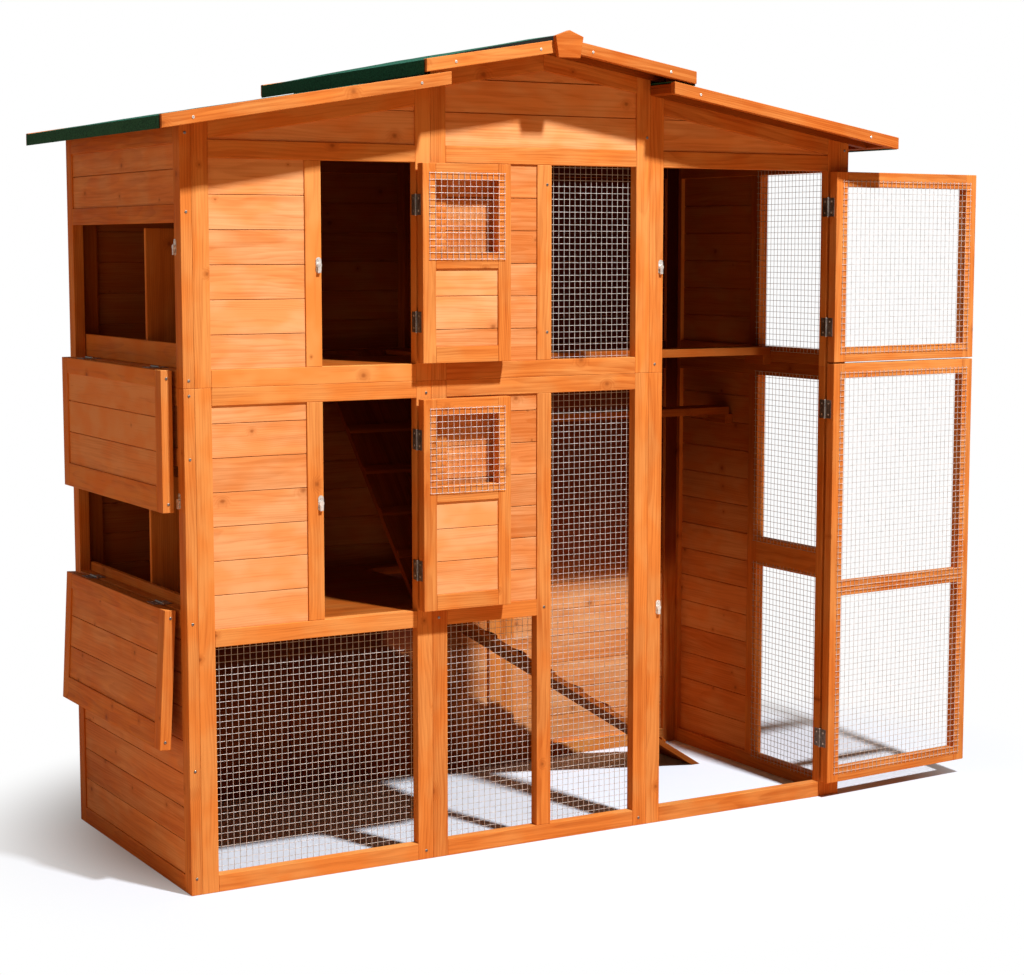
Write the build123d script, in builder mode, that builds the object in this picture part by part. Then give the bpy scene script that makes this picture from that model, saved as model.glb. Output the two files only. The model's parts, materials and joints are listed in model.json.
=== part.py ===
from build123d import *
import os
from math import floor, radians, tan

os.makedirs("parts", exist_ok=True)

# All sizes are in millimetres: X across the front, Y front to back, Z up from the ground.
# X = 0 lies under the ridge, Y = 0 in the middle of the front panels.

# Walls and roof line
half_width = 968.0  # outer face of each side wall
depth = 802.0  # front face to back face of the walls
side_wall_height = 1809.0  # outer top edge of the side walls
roof_pitch = 9.5  # degrees
centre_rise = 38.0  # height of the centre roof above the line of the side roofs
bay_half_width = 320.0  # seam between the centre bay and the side bays
floor_rail_base = 592.0  # underside of the rail in front of the lower floor
storey_seam = 1204.0  # joint between the lower and the upper wall panels
head_rail_base = 1734.0  # underside of the rail over the upper openings

# Framing timber, boards and wire net
panel_thickness = 28.0
timber_width = 42.0
board_pitch = 81.0
board_gap = 1.0
board_thickness = 12.0
board_recess = 4.0  # boards lie this far behind the outer face of their frame
net_pitch = 32.0
net_wire = 1.2
net_lap = 12.0  # the net is stapled this far onto the inner face of its frame

# Front bays
house_doorway_width = 252.0
centre_post_shift = 3.0  # the post of the centre bay stands a little right of the ridge

# Side walls
nest_opening_height = 340.0
nest_rail_drop = 5.0  # rail under the lower nest opening, above the house floor
window_depth = 321.0  # width of the nets of the right wall
window_rail_base = 606.0
window_rail_width = 82.0

# Floors, partition and nests
floor_thickness = 12.0
ledger_height = 18.0
partition_thickness = 28.0
pop_hole_height = 300.0
nest_depth = 288.0
lower_nest_lip_height = 22.0  # height of the outer lip above the nest opening's lower edge
upper_nest_lip_height = 58.0
nest_inner_lip_height = 100.0
nest_divider_height = 330.0
nest_divider_from_front = 340.0
nest_clearance = 2.0  # between a shut hatch and the outer lip

# Ramps
ramp_width = 200.0
ramp_thickness = 16.0
ramp_side_gap = 10.0
cleat_width = 14.0
cleat_height = 8.0
cleat_pitch = 95.0
run_ramp_from_front = 480.0
run_ramp_slope = 0.639  # rise over run
run_ramp_foot_from_wall = 108.0
ramp_leg_from_head = 70.0
storey_ramp_foot_from_front = 110.0
storey_ramp_head_from_front = 690.0
storey_ramp_hatch_length = 310.0
storey_ramp_from_partition = 90.0

# Perches
perch_width = 90.0
perch_thickness = 22.0
perch_cleat_height = 28.0
upper_perch_from_front = 300.0
upper_perch_base = 1223.0
lower_perch_from_front = 500.0
lower_perch_base = 1039.0

# Roof
side_overhang = 83.0
front_overhang = 110.0
back_overhang = 70.0
centre_roof_lap = 67.0  # the centre roof reaches this far over the side roofs
felt_thickness = 2.0
centre_felt_drip = 4.0  # the centre felt hangs this far below its eave
deck_thickness = 8.0
batten_depth = 16.0
batten_width = 20.0
fascia_thickness = 18.0
fascia_height = 27.0
beam_height = 60.0
ridge_beam_half_width = 20.0
end_block_thickness = 14.0
end_block_half_width = 40.0
end_block_foot_half_width = 31.0
end_block_shoulder = 6.0  # shoulders above the ridge line
end_block_apex = 21.0  # top above the ridge line
end_block_drop = 46.0  # foot below the ridge line

# Doors and hatches
hinge_gap = 4.0
latch_gap = 2.0
door_timber = 40.0
house_door_stile = 36.0
house_door_top_board = 66.0  # board under the middle rail
house_window_height = 175.0
hatch_free_rail = 60.0  # rail along the upper edge of a shut hatch
run_door_split = 1215.0  # middle of the gap between the two run doors
run_crossbar_above_base = 526.0
house_door_swing = 180.0
run_door_swing = 184.0
upper_hatch_swing = 180.0
lower_hatch_swing = 176.8
house_hinge_inset = 100.0
upper_run_hinge_inset = 95.0
lower_run_hinge_inset = 125.0
hatch_hinge_inset = 120.0

# Butt hinges
pin_offset = 5.0  # pin axis in front of the timber face
pin_radius = 1.5
pin_clearance = 0.05
knuckle_radius = 3.2
knuckle_length = 16.0
knuckle_gap = 0.2
leaf_thickness = 1.6
leaf_width = 20.0
leaf_height = 50.0
leaf_inset = 3.6  # from the pin axis to the near edge of the leaf plate
pin_head_radius = 2.4
pin_head_height = 1.0

# Turn buttons
button_plate_length = 38.0
button_plate_width = 14.0
button_plate_thickness = 1.5
button_screw_radius = 2.8
button_screw_height = 0.8
button_screw_spacing = 26.0
button_clearance = 0.3
button_pivot_radius = 2.0
button_boss_radius = 6.0
finger_length = 18.0
finger_width = 8.0
finger_thickness = 4.0
button_inset = 8.0  # pivot beside the edge of the opening
upper_house_button_above_base = 239.0
lower_house_button_above_base = 282.0
upper_run_button_above_base = 261.0
lower_run_button_above_base = 539.0
upper_hatch_button_above_base = 280.0
lower_hatch_button_above_base = 255.0

# Planes and levels that follow from those sizes
slope = tan(radians(roof_pitch))
y_front = -panel_thickness / 2
y_back = y_front + depth
front = (y_front, y_front + panel_thickness)
back = (y_back - panel_thickness, y_back)
room = (front[1], back[0])
front_boards = (y_front + board_recess, y_front + board_recess + board_thickness)
door_boards = (front[1] - board_recess - board_thickness, front[1] - board_recess)
back_boards = (y_back - board_recess - board_thickness, y_back - board_recess)
front_net = (front[1], front[1] + net_wire)
x_inner = half_width - panel_thickness
x_boards = (half_width - board_recess - board_thickness, half_width - board_recess)
floor_top = floor_rail_base + timber_width
upper_floor_top = storey_seam + timber_width
lower_head = storey_seam - timber_width
head_rail_top = head_rail_base + timber_width
roof_build = batten_depth + deck_thickness + felt_thickness
eave = half_width + side_overhang
centre_eave = bay_half_width + centre_roof_lap
roof_front = y_front - front_overhang
roof_back = y_back + back_overhang
ridge_beam_base = side_wall_height + half_width * slope + centre_rise - beam_height
bay_inner = bay_half_width - timber_width
bay_outer = bay_half_width + timber_width
corner_post = x_inner - timber_width
house_doorway = (-bay_outer - house_doorway_width, -bay_outer)
centre_post = (centre_post_shift - timber_width / 2, centre_post_shift + timber_width / 2)
partition = (centre_post[0], centre_post[0] + partition_thickness)


def wall_top(x, rise=0.0):
    """Height of the wall tops under the roof."""
    return side_wall_height + (half_width - abs(x)) * slope + rise


def timber(x, y, z):
    """Square-cut timber, board or batten between three pairs of faces."""
    with BuildPart() as piece:
        with Locations(((x[0] + x[1]) / 2, (y[0] + y[1]) / 2, (z[0] + z[1]) / 2)):
            Box(x[1] - x[0], y[1] - y[0], z[1] - z[0])
    return piece.part


def prism_along_y(outline, y):
    """Piece with an outline in X and Z, reaching from one Y face to the other."""
    with BuildPart() as piece:
        with BuildSketch(Plane.XZ.offset(-y[1])):
            with BuildLine():
                Polyline(*outline, close=True)
            make_face()
        extrude(amount=y[1] - y[0])
    return piece.part


def prism_along_x(outline, x):
    """Piece with an outline in Y and Z, reaching from one X face to the other."""
    with BuildPart() as piece:
        with BuildSketch(Plane.YZ.offset(x[0])):
            with BuildLine():
                Polyline(*outline, close=True)
            make_face()
        extrude(amount=x[1] - x[0])
    return piece.part


def roof_strip(x, y, low, high, rise=0.0):
    """Strip that follows the roof slope, from low to high above the wall tops."""
    outline = [
        (x[0], wall_top(x[0], rise) + low),
        (x[1], wall_top(x[1], rise) + low),
        (x[1], wall_top(x[1], rise) + high),
        (x[0], wall_top(x[0], rise) + high),
    ]
    return prism_along_y(outline, y)


def post_to_roof(x, y, base, rise=0.0):
    """Post or rail with a level foot and a top cut to the roof slope."""
    outline = [(x[0], base), (x[1], base), (x[1], wall_top(x[1], rise)), (x[0], wall_top(x[0], rise))]
    return prism_along_y(outline, y)


def board_rows(base, top, lowest):
    """Lower and upper edges of the boards stacked from base to top, above a lowest board of the stated height."""
    edges = [base]
    while top - edges[-1] - lowest > board_pitch / 4:
        edges.append(edges[-1] + lowest)
        lowest = board_pitch
    edges.append(top + board_gap)
    return [(low, high - board_gap) for low, high in zip(edges, edges[1:])]


def boards(x, y, z, topmost=None):
    """Field of level boards; rows are counted from the base, or from a topmost board of the stated height."""
    lowest = board_pitch
    if topmost:
        lowest = (z[1] - z[0] - topmost) % board_pitch
        if lowest < board_pitch / 4:
            lowest += board_pitch
    return [timber(x, y, row) for row in board_rows(*z, lowest)]


def gable_boards(x, y, rise=0.0):
    """Level boards from the head rail up to the sloped top rail, cut to its underside."""
    def reach(height):
        return half_width - (height + timber_width - side_wall_height - rise) / slope

    pieces = []
    base = head_rail_top
    peak = max(wall_top(end, rise) for end in (*x, 0.0 if x[0] < 0 < x[1] else x[0])) - timber_width
    while peak - base > board_gap:
        top = base + board_pitch - board_gap
        foot = (max(x[0], -reach(base)), min(x[1], reach(base)))
        breaks = {*foot, *(end for end in (-reach(top), 0.0, reach(top)) if foot[0] < end < foot[1])}
        edge = [(end, min(top, wall_top(end, rise) - timber_width)) for end in sorted(breaks, reverse=True)]
        corners = [point for point in edge if point[1] - base > 1e-6]
        pieces.append(prism_along_y([(foot[0], base), (foot[1], base), *corners], y))
        base += board_pitch
    return pieces


def net(plane, width, height):
    """Welded wire net, drawn as one holed sheet that grows along the plane's normal."""
    columns = floor((width + 2 * net_lap) / net_pitch)
    rows = floor((height + 2 * net_lap) / net_pitch)
    step_x = (width + 2 * net_lap) / columns
    step_y = (height + 2 * net_lap) / rows
    gap = Rectangle(step_x - net_wire, step_y - net_wire).wire()
    gaps = [spot * gap for spot in GridLocations(step_x, step_y, columns, rows)]
    edge = Rectangle(columns * step_x, rows * step_y).wire()
    with BuildPart() as piece:
        extrude(plane * Face(edge, gaps), amount=net_wire)
    return piece.part


def front_opening_net(x, z):
    """Net over an opening of the front wall, on the inner face of the frame."""
    middle = ((x[0] + x[1]) / 2, front_net[1], (z[0] + z[1]) / 2)
    return net(Plane(origin=middle, x_dir=(1, 0, 0), z_dir=(0, -1, 0)), x[1] - x[0], z[1] - z[0])


def save(name, pieces):
    """Write one named sub-part as a group of its separate pieces."""
    export_step(Compound(label=name, children=pieces), f"parts/{name}.step")


def bay_posts(x, y, rise=0.0):
    """Post of the lower panel and post of the upper panel above it."""
    return [timber(x, y, (0, storey_seam)), post_to_roof(x, y, storey_seam, rise)]


def seam_rails(x, y):
    """Top rail of the lower panel and bottom rail of the upper panel."""
    return [timber(x, y, (lower_head, storey_seam)), timber(x, y, (storey_seam, upper_floor_top))]


# Front left bay: boards and doorways of the house, net below its floor
left_bay = (-corner_post, -bay_outer)
door_post = (house_doorway[0] - timber_width, house_doorway[0])
left_boards = (left_bay[0], door_post[0])
lower_storey = (floor_top, lower_head)
upper_storey = (upper_floor_top, head_rail_base)
save("front_left_frame", [
    *bay_posts((-x_inner, left_bay[0]), front),
    *bay_posts((left_bay[1], -bay_half_width), front),
    timber(left_bay, front, (0, timber_width)),
    timber(left_bay, front, (floor_rail_base, floor_top)),
    *seam_rails(left_bay, front),
    timber(left_bay, front, (head_rail_base, head_rail_top)),
    roof_strip(left_bay, front, -timber_width, 0),
    timber(door_post, front, lower_storey),
    timber(door_post, front, upper_storey),
])
save("front_left_boards", [
    *boards(left_boards, front_boards, lower_storey),
    *boards(left_boards, front_boards, upper_storey),
    *gable_boards(left_bay, front_boards),
])
save("front_left_mesh", [front_opening_net(left_bay, (timber_width, floor_rail_base))])

# Front centre bay: a strip of house boards, and nets into the run
centre_bay = (-bay_inner, bay_inner)
strip = (-bay_inner, centre_post[0])
window = (centre_post[1], bay_inner)
save("front_centre_frame", [
    *bay_posts((-bay_half_width, -bay_inner), front, centre_rise),
    *bay_posts((bay_inner, bay_half_width), front, centre_rise),
    timber(centre_bay, front, (0, timber_width)),
    timber(strip, front, (floor_rail_base, floor_top)),
    *seam_rails(centre_bay, front),
    timber(centre_bay, front, (head_rail_base, head_rail_top)),
    timber(centre_post, front, (timber_width, lower_head)),
    timber(centre_post, front, upper_storey),
    roof_strip((-bay_inner, 0), front, -timber_width, 0, centre_rise),
    roof_strip((0, bay_inner), front, -timber_width, 0, centre_rise),
])
save("front_centre_boards", [
    *boards(strip, front_boards, lower_storey),
    *boards(strip, front_boards, upper_storey),
    *gable_boards(centre_bay, front_boards, centre_rise),
])
save("front_centre_mesh", [
    front_opening_net(strip, (timber_width, floor_rail_base)),
    front_opening_net(window, (timber_width, lower_head)),
    front_opening_net(window, upper_storey),
])

# Front right bay: the run doorway
run_doorway = (bay_outer, corner_post)
save("front_right_frame", [
    *bay_posts((bay_half_width, bay_outer), front),
    *bay_posts((corner_post, x_inner), front),
    timber(run_doorway, front, (0, timber_width)),
    timber(run_doorway, front, (head_rail_base, head_rail_top)),
    roof_strip(run_doorway, front, -timber_width, 0),
])
save("front_right_boards", gable_boards(run_doorway, front_boards))

# Left wall: two nest openings, each shut by a hatch
left_wall = (-half_width, -x_inner)
left_wall_boards = (-x_boards[1], -x_boards[0])
between_posts = (y_front + timber_width, y_back - timber_width)
front_post = (y_front, between_posts[0])
back_post = (between_posts[1], y_back)
lower_nest_base = floor_top + nest_rail_drop + timber_width
lower_nest = (lower_nest_base, lower_nest_base + nest_opening_height)
upper_nest = (upper_floor_top, upper_floor_top + nest_opening_height)
side_rail_base = side_wall_height - timber_width
save("left_side_frame", [
    *bay_posts(left_wall, front_post),
    *bay_posts(left_wall, back_post),
    timber(left_wall, between_posts, (0, timber_width)),
    timber(left_wall, between_posts, (lower_nest[0] - timber_width, lower_nest[0])),
    timber(left_wall, between_posts, (lower_nest[1], lower_nest[1] + timber_width)),
    *seam_rails(left_wall, between_posts),
    timber(left_wall, between_posts, (upper_nest[1], upper_nest[1] + timber_width)),
    post_to_roof(left_wall, between_posts, side_rail_base),
])
save("left_side_boards", [
    *boards(left_wall_boards, between_posts, (timber_width, lower_nest[0] - timber_width)),
    *boards(left_wall_boards, between_posts, (lower_nest[1] + timber_width, lower_head)),
    *boards(left_wall_boards, between_posts, (upper_nest[1] + timber_width, side_rail_base)),
])

# Right wall: three nets in front, boards behind
right_wall = (x_inner, half_width)
window_span = (between_posts[0], between_posts[0] + window_depth)
middle_post = (window_span[1], window_span[1] + timber_width)
boarded_span = (middle_post[1], between_posts[1])
window_rail = (window_rail_base, window_rail_base + window_rail_width)
window_heights = [(timber_width, window_rail[0]), (window_rail[1], lower_head), upper_storey]
save("right_side_frame", [
    *bay_posts(right_wall, front_post),
    *bay_posts(right_wall, back_post),
    timber(right_wall, between_posts, (0, timber_width)),
    *seam_rails(right_wall, between_posts),
    post_to_roof(right_wall, between_posts, head_rail_base),
    timber(right_wall, middle_post, (timber_width, lower_head)),
    timber(right_wall, middle_post, upper_storey),
    timber(right_wall, window_span, window_rail),
])
save("right_side_boards", [
    *boards(x_boards, boarded_span, (timber_width, lower_head)),
    *boards(x_boards, boarded_span, upper_storey),
])


def right_wall_net(z):
    """Net over a window of the right wall, on the inner face of the frame."""
    middle = (x_inner - net_wire, (window_span[0] + window_span[1]) / 2, (z[0] + z[1]) / 2)
    return net(Plane(origin=middle, x_dir=(0, 1, 0), z_dir=(1, 0, 0)), window_depth, z[1] - z[0])


save("right_side_mesh", [right_wall_net(z) for z in window_heights])

# Back wall: three boarded bays
back_bays = [(-corner_post, -bay_outer, 0.0), (-bay_inner, bay_inner, centre_rise), (bay_outer, corner_post, 0.0)]
back_frame = []
back_fill = []
for bay_left, bay_right, rise in back_bays:
    bay = (bay_left, bay_right)
    back_frame += bay_posts((bay_left - timber_width, bay_left), back, rise)
    back_frame += bay_posts((bay_right, bay_right + timber_width), back, rise)
    back_frame.append(timber(bay, back, (0, timber_width)))
    back_frame += seam_rails(bay, back)
    back_frame.append(timber(bay, back, (head_rail_base, head_rail_top)))
    top_ends = sorted({bay_left, min(max(0.0, bay_left), bay_right), bay_right})
    back_frame += [roof_strip(span, back, -timber_width, 0, rise) for span in zip(top_ends, top_ends[1:])]
    back_fill += boards(bay, back_boards, (timber_width, lower_head))
    back_fill += boards(bay, back_boards, upper_storey)
    back_fill += gable_boards(bay, back_boards, rise)
save("back_frame", back_frame)
save("back_boards", back_fill)

# Ramp from the ground of the run up through the lower floor
run_ramp_span = (y_front + run_ramp_from_front, y_front + run_ramp_from_front + ramp_width)
run_ramp_foot = x_inner - run_ramp_foot_from_wall
run_ramp_head = run_ramp_foot - floor_top / run_ramp_slope
run_ramp_drop = ramp_thickness * (1 + run_ramp_slope**2) ** 0.5


def run_ramp_height(x):
    """Top face of the run ramp."""
    return (run_ramp_foot - x) * run_ramp_slope


run_ramp = [prism_along_y([
    (run_ramp_head, floor_top),
    (run_ramp_head, floor_top - run_ramp_drop),
    (run_ramp_foot - run_ramp_drop / run_ramp_slope, 0),
    (run_ramp_foot, 0),
], run_ramp_span)]
cleat_count = floor((run_ramp_foot - run_ramp_head) / cleat_pitch)
for index in range(1, cleat_count):
    cleat_start = run_ramp_head + index * cleat_pitch
    cleat_end = cleat_start + cleat_width
    run_ramp.append(prism_along_y([
        (cleat_start, run_ramp_height(cleat_start)),
        (cleat_end, run_ramp_height(cleat_end)),
        (cleat_end, run_ramp_height(cleat_end) + cleat_height),
        (cleat_start, run_ramp_height(cleat_start) + cleat_height),
    ], run_ramp_span))
leg = (run_ramp_head + ramp_leg_from_head, run_ramp_head + ramp_leg_from_head + timber_width / 2)
run_ramp.append(prism_along_y([
    (leg[0], 0),
    (leg[1], 0),
    (leg[1], run_ramp_height(leg[1]) - run_ramp_drop),
    (leg[0], run_ramp_height(leg[0]) - run_ramp_drop),
], (run_ramp_span[0], run_ramp_span[0] + panel_thickness)))
save("run_ramp", run_ramp)

# Lower floor, cut away around the head of the run ramp
house = (-x_inner, partition[1])
ramp_well = (run_ramp_span[0] - ramp_side_gap, run_ramp_span[1] + ramp_side_gap)
lower_boards = (floor_top - floor_thickness, floor_top)
lower_ledger = (lower_boards[0] - ledger_height, lower_boards[0])
front_ledger = (room[0], room[0] + panel_thickness)
back_ledger = (room[1] - panel_thickness, room[1])
save("lower_house_floor", [
    timber((house[0], run_ramp_head), room, lower_boards),
    timber((run_ramp_head, house[1]), (room[0], ramp_well[0]), lower_boards),
    timber((run_ramp_head, house[1]), (ramp_well[1], room[1]), lower_boards),
    timber(house, front_ledger, lower_ledger),
    timber(house, back_ledger, lower_ledger),
])

# Ramp from the lower to the upper floor
storey_ramp_right = partition[0] - storey_ramp_from_partition
storey_ramp_span = (storey_ramp_right - ramp_width, storey_ramp_right)
storey_foot = y_front + storey_ramp_foot_from_front
storey_head = y_front + storey_ramp_head_from_front
storey_slope = (upper_floor_top - floor_top) / (storey_head - storey_foot)
storey_drop = ramp_thickness * (1 + storey_slope**2) ** 0.5


def storey_ramp_height(y):
    """Top face of the ramp between the floors."""
    return floor_top + (y - storey_foot) * storey_slope


storey_ramp = [prism_along_x([
    (storey_foot, floor_top),
    (storey_foot + storey_drop / storey_slope, floor_top),
    (storey_head, upper_floor_top - storey_drop),
    (storey_head, upper_floor_top),
], storey_ramp_span)]
cleat_count = floor((storey_head - storey_foot) / cleat_pitch)
for index in range(1, cleat_count):
    cleat_start = storey_foot + index * cleat_pitch
    cleat_end = cleat_start + cleat_width
    storey_ramp.append(prism_along_x([
        (cleat_start, storey_ramp_height(cleat_start)),
        (cleat_end, storey_ramp_height(cleat_end)),
        (cleat_end, storey_ramp_height(cleat_end) + cleat_height),
        (cleat_start, storey_ramp_height(cleat_start) + cleat_height),
    ], storey_ramp_span))
save("storey_ramp", storey_ramp)

# Upper floor, cut away over the storey ramp
storey_well = (storey_ramp_span[0] - ramp_side_gap, storey_ramp_span[1] + ramp_side_gap)
well_front = storey_head - storey_ramp_hatch_length
upper_boards = (upper_floor_top - floor_thickness, upper_floor_top)
upper_ledger = (upper_boards[0] - ledger_height, upper_boards[0])
upper_house = (-x_inner, partition[0])
save("upper_house_floor", [
    timber((house[0], storey_well[0]), room, upper_boards),
    timber((storey_well[1], house[1]), room, upper_boards),
    timber(storey_well, (room[0], well_front), upper_boards),
    timber(storey_well, (storey_head, room[1]), upper_boards),
    timber(upper_house, front_ledger, upper_ledger),
    timber(upper_house, back_ledger, upper_ledger),
])

# Partition between house and run, with the pop hole over the run ramp
partition_front = (room[0], room[0] + timber_width)
partition_back = (room[1] - timber_width, room[1])
pop_front = (ramp_well[0] - timber_width, ramp_well[0])
pop_back = (ramp_well[1], min(ramp_well[1] + timber_width, partition_back[0]))
partition_lower = (floor_top, upper_boards[0])
partition_upper = (upper_floor_top, ridge_beam_base)
pop_head = (floor_top + pop_hole_height, floor_top + pop_hole_height + timber_width)
partition_boards = (partition[1] - board_thickness, partition[1])
save("house_partition", [
    timber(partition, partition_front, partition_lower),
    timber(partition, partition_back, partition_lower),
    timber(partition, pop_front, (floor_top, pop_head[0])),
    timber(partition, pop_back, (floor_top, pop_head[0])),
    timber(partition, (partition_front[1], partition_back[0]), pop_head),
    *boards(partition_boards, (partition_front[1], pop_front[0]), (floor_top, pop_head[0])),
    *boards(partition_boards, (partition_front[1], partition_back[0]), (pop_head[1], partition_lower[1])),
    timber(partition, partition_front, partition_upper),
    timber(partition, partition_back, partition_upper),
    *boards(partition_boards, (partition_front[1], partition_back[0]), partition_upper),
])

# Nest boxes behind the hatches
nest_outer = (-x_inner + nest_clearance, -x_inner + nest_clearance + board_thickness)
nest_inner = (nest_outer[1] + nest_depth - board_thickness, nest_outer[1] + nest_depth)
nest_divider_y = y_front + nest_divider_from_front
nest_divider = (nest_divider_y, nest_divider_y + board_thickness)
nests = []
for nest_floor, opening, lip_height in (
    (floor_top, lower_nest, lower_nest_lip_height),
    (upper_floor_top, upper_nest, upper_nest_lip_height),
):
    nests.append(timber(nest_outer, room, (nest_floor, opening[0] + lip_height)))
    nests.append(timber(nest_inner, room, (nest_floor, nest_floor + nest_inner_lip_height)))
    divider_height = (nest_floor, nest_floor + nest_divider_height)
    nests.append(timber((nest_outer[1], nest_inner[0]), nest_divider, divider_height))
save("nest_boxes", nests)

# Perch planks across the run, each on a cleat at the partition and at the right wall
perches = []
for from_front, base, wall_face in (
    (upper_perch_from_front, upper_perch_base, x_inner),
    (lower_perch_from_front, lower_perch_base, x_boards[0]),
):
    plank = (y_front + from_front, y_front + from_front + perch_width)
    cleat = (base - perch_cleat_height, base)
    perches.append(timber((partition[1], x_inner - net_wire), plank, (base, base + perch_thickness)))
    perches.append(timber((partition[1], partition[1] + panel_thickness), plank, cleat))
    perches.append(timber((wall_face - panel_thickness, wall_face), plank, cleat))
save("perches", perches)


# Roof decks: boards on rafters over the end walls, battens along the edges, plates over the side walls
deck_span = (roof_front + fascia_thickness, roof_back - fascia_thickness)
deck_top = batten_depth + deck_thickness


def mirrored(x, side):
    """Pair of X faces on the left (side -1) or right (side 1) half of the coop."""
    return tuple(sorted((side * x[0], side * x[1])))


def roof_deck(side, inner, outer, rise, edge_battens):
    """Deck board with its rafters and with battens along the stated strips."""
    pieces = [roof_strip(mirrored((inner, outer), side), deck_span, batten_depth, deck_top, rise)]
    rafter = mirrored((edge_battens[0][1], edge_battens[1][0]), side)
    pieces += [roof_strip(rafter, wall, 0, batten_depth, rise) for wall in (front, back)]
    for strip_x in edge_battens:
        if strip_x[1] > strip_x[0]:
            pieces.append(roof_strip(mirrored(strip_x, side), deck_span, 0, batten_depth, rise))
    return pieces


side_battens = ((bay_half_width, bay_half_width + batten_width), (eave - batten_width, eave))
centre_battens = ((0, 0), (centre_eave - batten_width, centre_eave))
for side, name in ((-1, "left"), (1, "right")):
    wall_plate = roof_strip(mirrored((x_inner, half_width), side), room, 0, batten_depth)
    save(f"{name}_lower_roof_deck", [*roof_deck(side, bay_half_width, eave, 0.0, side_battens), wall_plate])
    save(f"{name}_upper_roof_deck", roof_deck(side, 0, centre_eave, centre_rise, centre_battens))


def felt_sheet(side, inner, outer, rise, drip):
    """Roofing felt over one slope, folded down over the eave."""
    line = [
        (inner, deck_top),
        (outer, deck_top),
        (outer, -drip),
        (outer + felt_thickness, -drip),
        (outer + felt_thickness, roof_build),
        (inner, roof_build),
    ]
    return prism_along_y([(side * x, wall_top(x, rise) + z) for x, z in line], (roof_front, roof_back))


save("lower_roof_felt", [felt_sheet(side, bay_half_width, eave, 0.0, 0.0) for side in (-1, 1)])
save("upper_roof_felt", [felt_sheet(side, 0, centre_eave, centre_rise, centre_felt_drip) for side in (-1, 1)])

# Fascias over the ends of the deck boards
fascias = []
for ends in ((roof_front, deck_span[0]), (deck_span[1], roof_back)):
    for side in (-1, 1):
        for inner, outer, rise in ((bay_half_width, eave, 0.0), (0, centre_eave, centre_rise)):
            fascias.append(roof_strip(mirrored((inner, outer), side), ends, deck_top - fascia_height, deck_top, rise))
save("roof_fascias", fascias)

# Ridge beam and the two purlins between the end walls
beams = []
for side in (-1, 1):
    purlin = mirrored((bay_inner, bay_half_width), side)
    beams.append(roof_strip(purlin, room, batten_depth - beam_height, batten_depth, centre_rise))
ridge_shoulder = wall_top(ridge_beam_half_width, centre_rise) + batten_depth
beams.append(prism_along_y([
    (-ridge_beam_half_width, ridge_beam_base),
    (ridge_beam_half_width, ridge_beam_base),
    (ridge_beam_half_width, ridge_shoulder),
    (0, wall_top(0, centre_rise) + batten_depth),
    (-ridge_beam_half_width, ridge_shoulder),
], room))
save("roof_beams", beams)

# Block over the meeting ends of the front centre fascias
ridge_line = wall_top(0, centre_rise) + roof_build
block_outline = [
    (-end_block_foot_half_width, ridge_line - end_block_drop),
    (end_block_foot_half_width, ridge_line - end_block_drop),
    (end_block_half_width, ridge_line + end_block_shoulder),
    (0, ridge_line + end_block_apex),
    (-end_block_half_width, ridge_line + end_block_shoulder),
]
save("ridge_end_block", [prism_along_y(block_outline, (roof_front - end_block_thickness, roof_front))])


# Butt hinge in its own frame: Z along the pin, X towards the fixed timber, Y into the wall.
# The leaves lie in the gap between the moving timber's edge and the fixed one.
def hinge_leaf(plane, side, knuckles):
    """One leaf plate with the stated knuckles; side is 1 for the fixed leaf, -1 for the moving one."""
    plate_x = side * (hinge_gap - leaf_thickness) / 2
    with BuildPart() as leaf:
        with BuildSketch(plane.offset(-leaf_height / 2)):
            with Locations((plate_x, leaf_inset + leaf_width / 2)):
                Rectangle(leaf_thickness, leaf_width)
        extrude(amount=leaf_height)
        for low, high in knuckles:
            with BuildSketch(plane.offset(low)):
                Circle(knuckle_radius)
                with Locations((plate_x, leaf_inset / 2)):
                    Rectangle(leaf_thickness, leaf_inset)
                Circle(pin_radius + pin_clearance, mode=Mode.SUBTRACT)
            extrude(amount=high - low)
    return leaf.part


fixed_knuckles = (
    (-leaf_height / 2, -knuckle_length / 2 - knuckle_gap),
    (knuckle_length / 2 + knuckle_gap, leaf_height / 2),
)
moving_knuckles = ((-knuckle_length / 2, knuckle_length / 2),)


def hinge_pin(plane):
    """Headed pin through the knuckles."""
    with BuildPart() as pin:
        with BuildSketch(plane.offset(-leaf_height / 2)):
            Circle(pin_radius)
        extrude(amount=leaf_height)
        with BuildSketch(plane.offset(leaf_height / 2)):
            Circle(pin_head_radius)
        extrude(amount=pin_head_height)
        with BuildSketch(plane.offset(-leaf_height / 2)):
            Circle(pin_head_radius)
        extrude(amount=-pin_head_height)
    return pin.part


# Turn button in its own frame: Z out of the timber face, Y up the post
def button_plate(plane):
    """Oval plate with two screw heads and the pivot hole."""
    with BuildPart() as plate:
        with BuildSketch(plane):
            SlotOverall(button_plate_length, button_plate_width, rotation=90)
            Circle(button_pivot_radius + pin_clearance, mode=Mode.SUBTRACT)
        extrude(amount=button_plate_thickness)
        with BuildSketch(plane.offset(button_plate_thickness)):
            with GridLocations(0, button_screw_spacing, 1, 2):
                Circle(button_screw_radius)
        extrude(amount=button_screw_height)
    return plate.part


def button_finger(plane):
    """Turning finger on its boss and pivot, hanging clear of the door."""
    boss_base = button_plate_thickness + button_clearance
    finger_base = button_plate_thickness + button_screw_height + button_clearance
    finger_top = finger_base + finger_thickness
    with BuildPart() as finger:
        with BuildSketch(plane):
            Circle(button_pivot_radius)
        extrude(amount=boss_base)
        with BuildSketch(plane.offset(boss_base)):
            Circle(button_boss_radius)
        extrude(amount=finger_top - boss_base)
        with BuildSketch(plane.offset(finger_base)):
            with Locations((0, -finger_length / 2)):
                Rectangle(finger_width, finger_length)
        extrude(amount=finger_thickness)
    return finger.part


fixed_leaves = []
pins = []
plates = []


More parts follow.
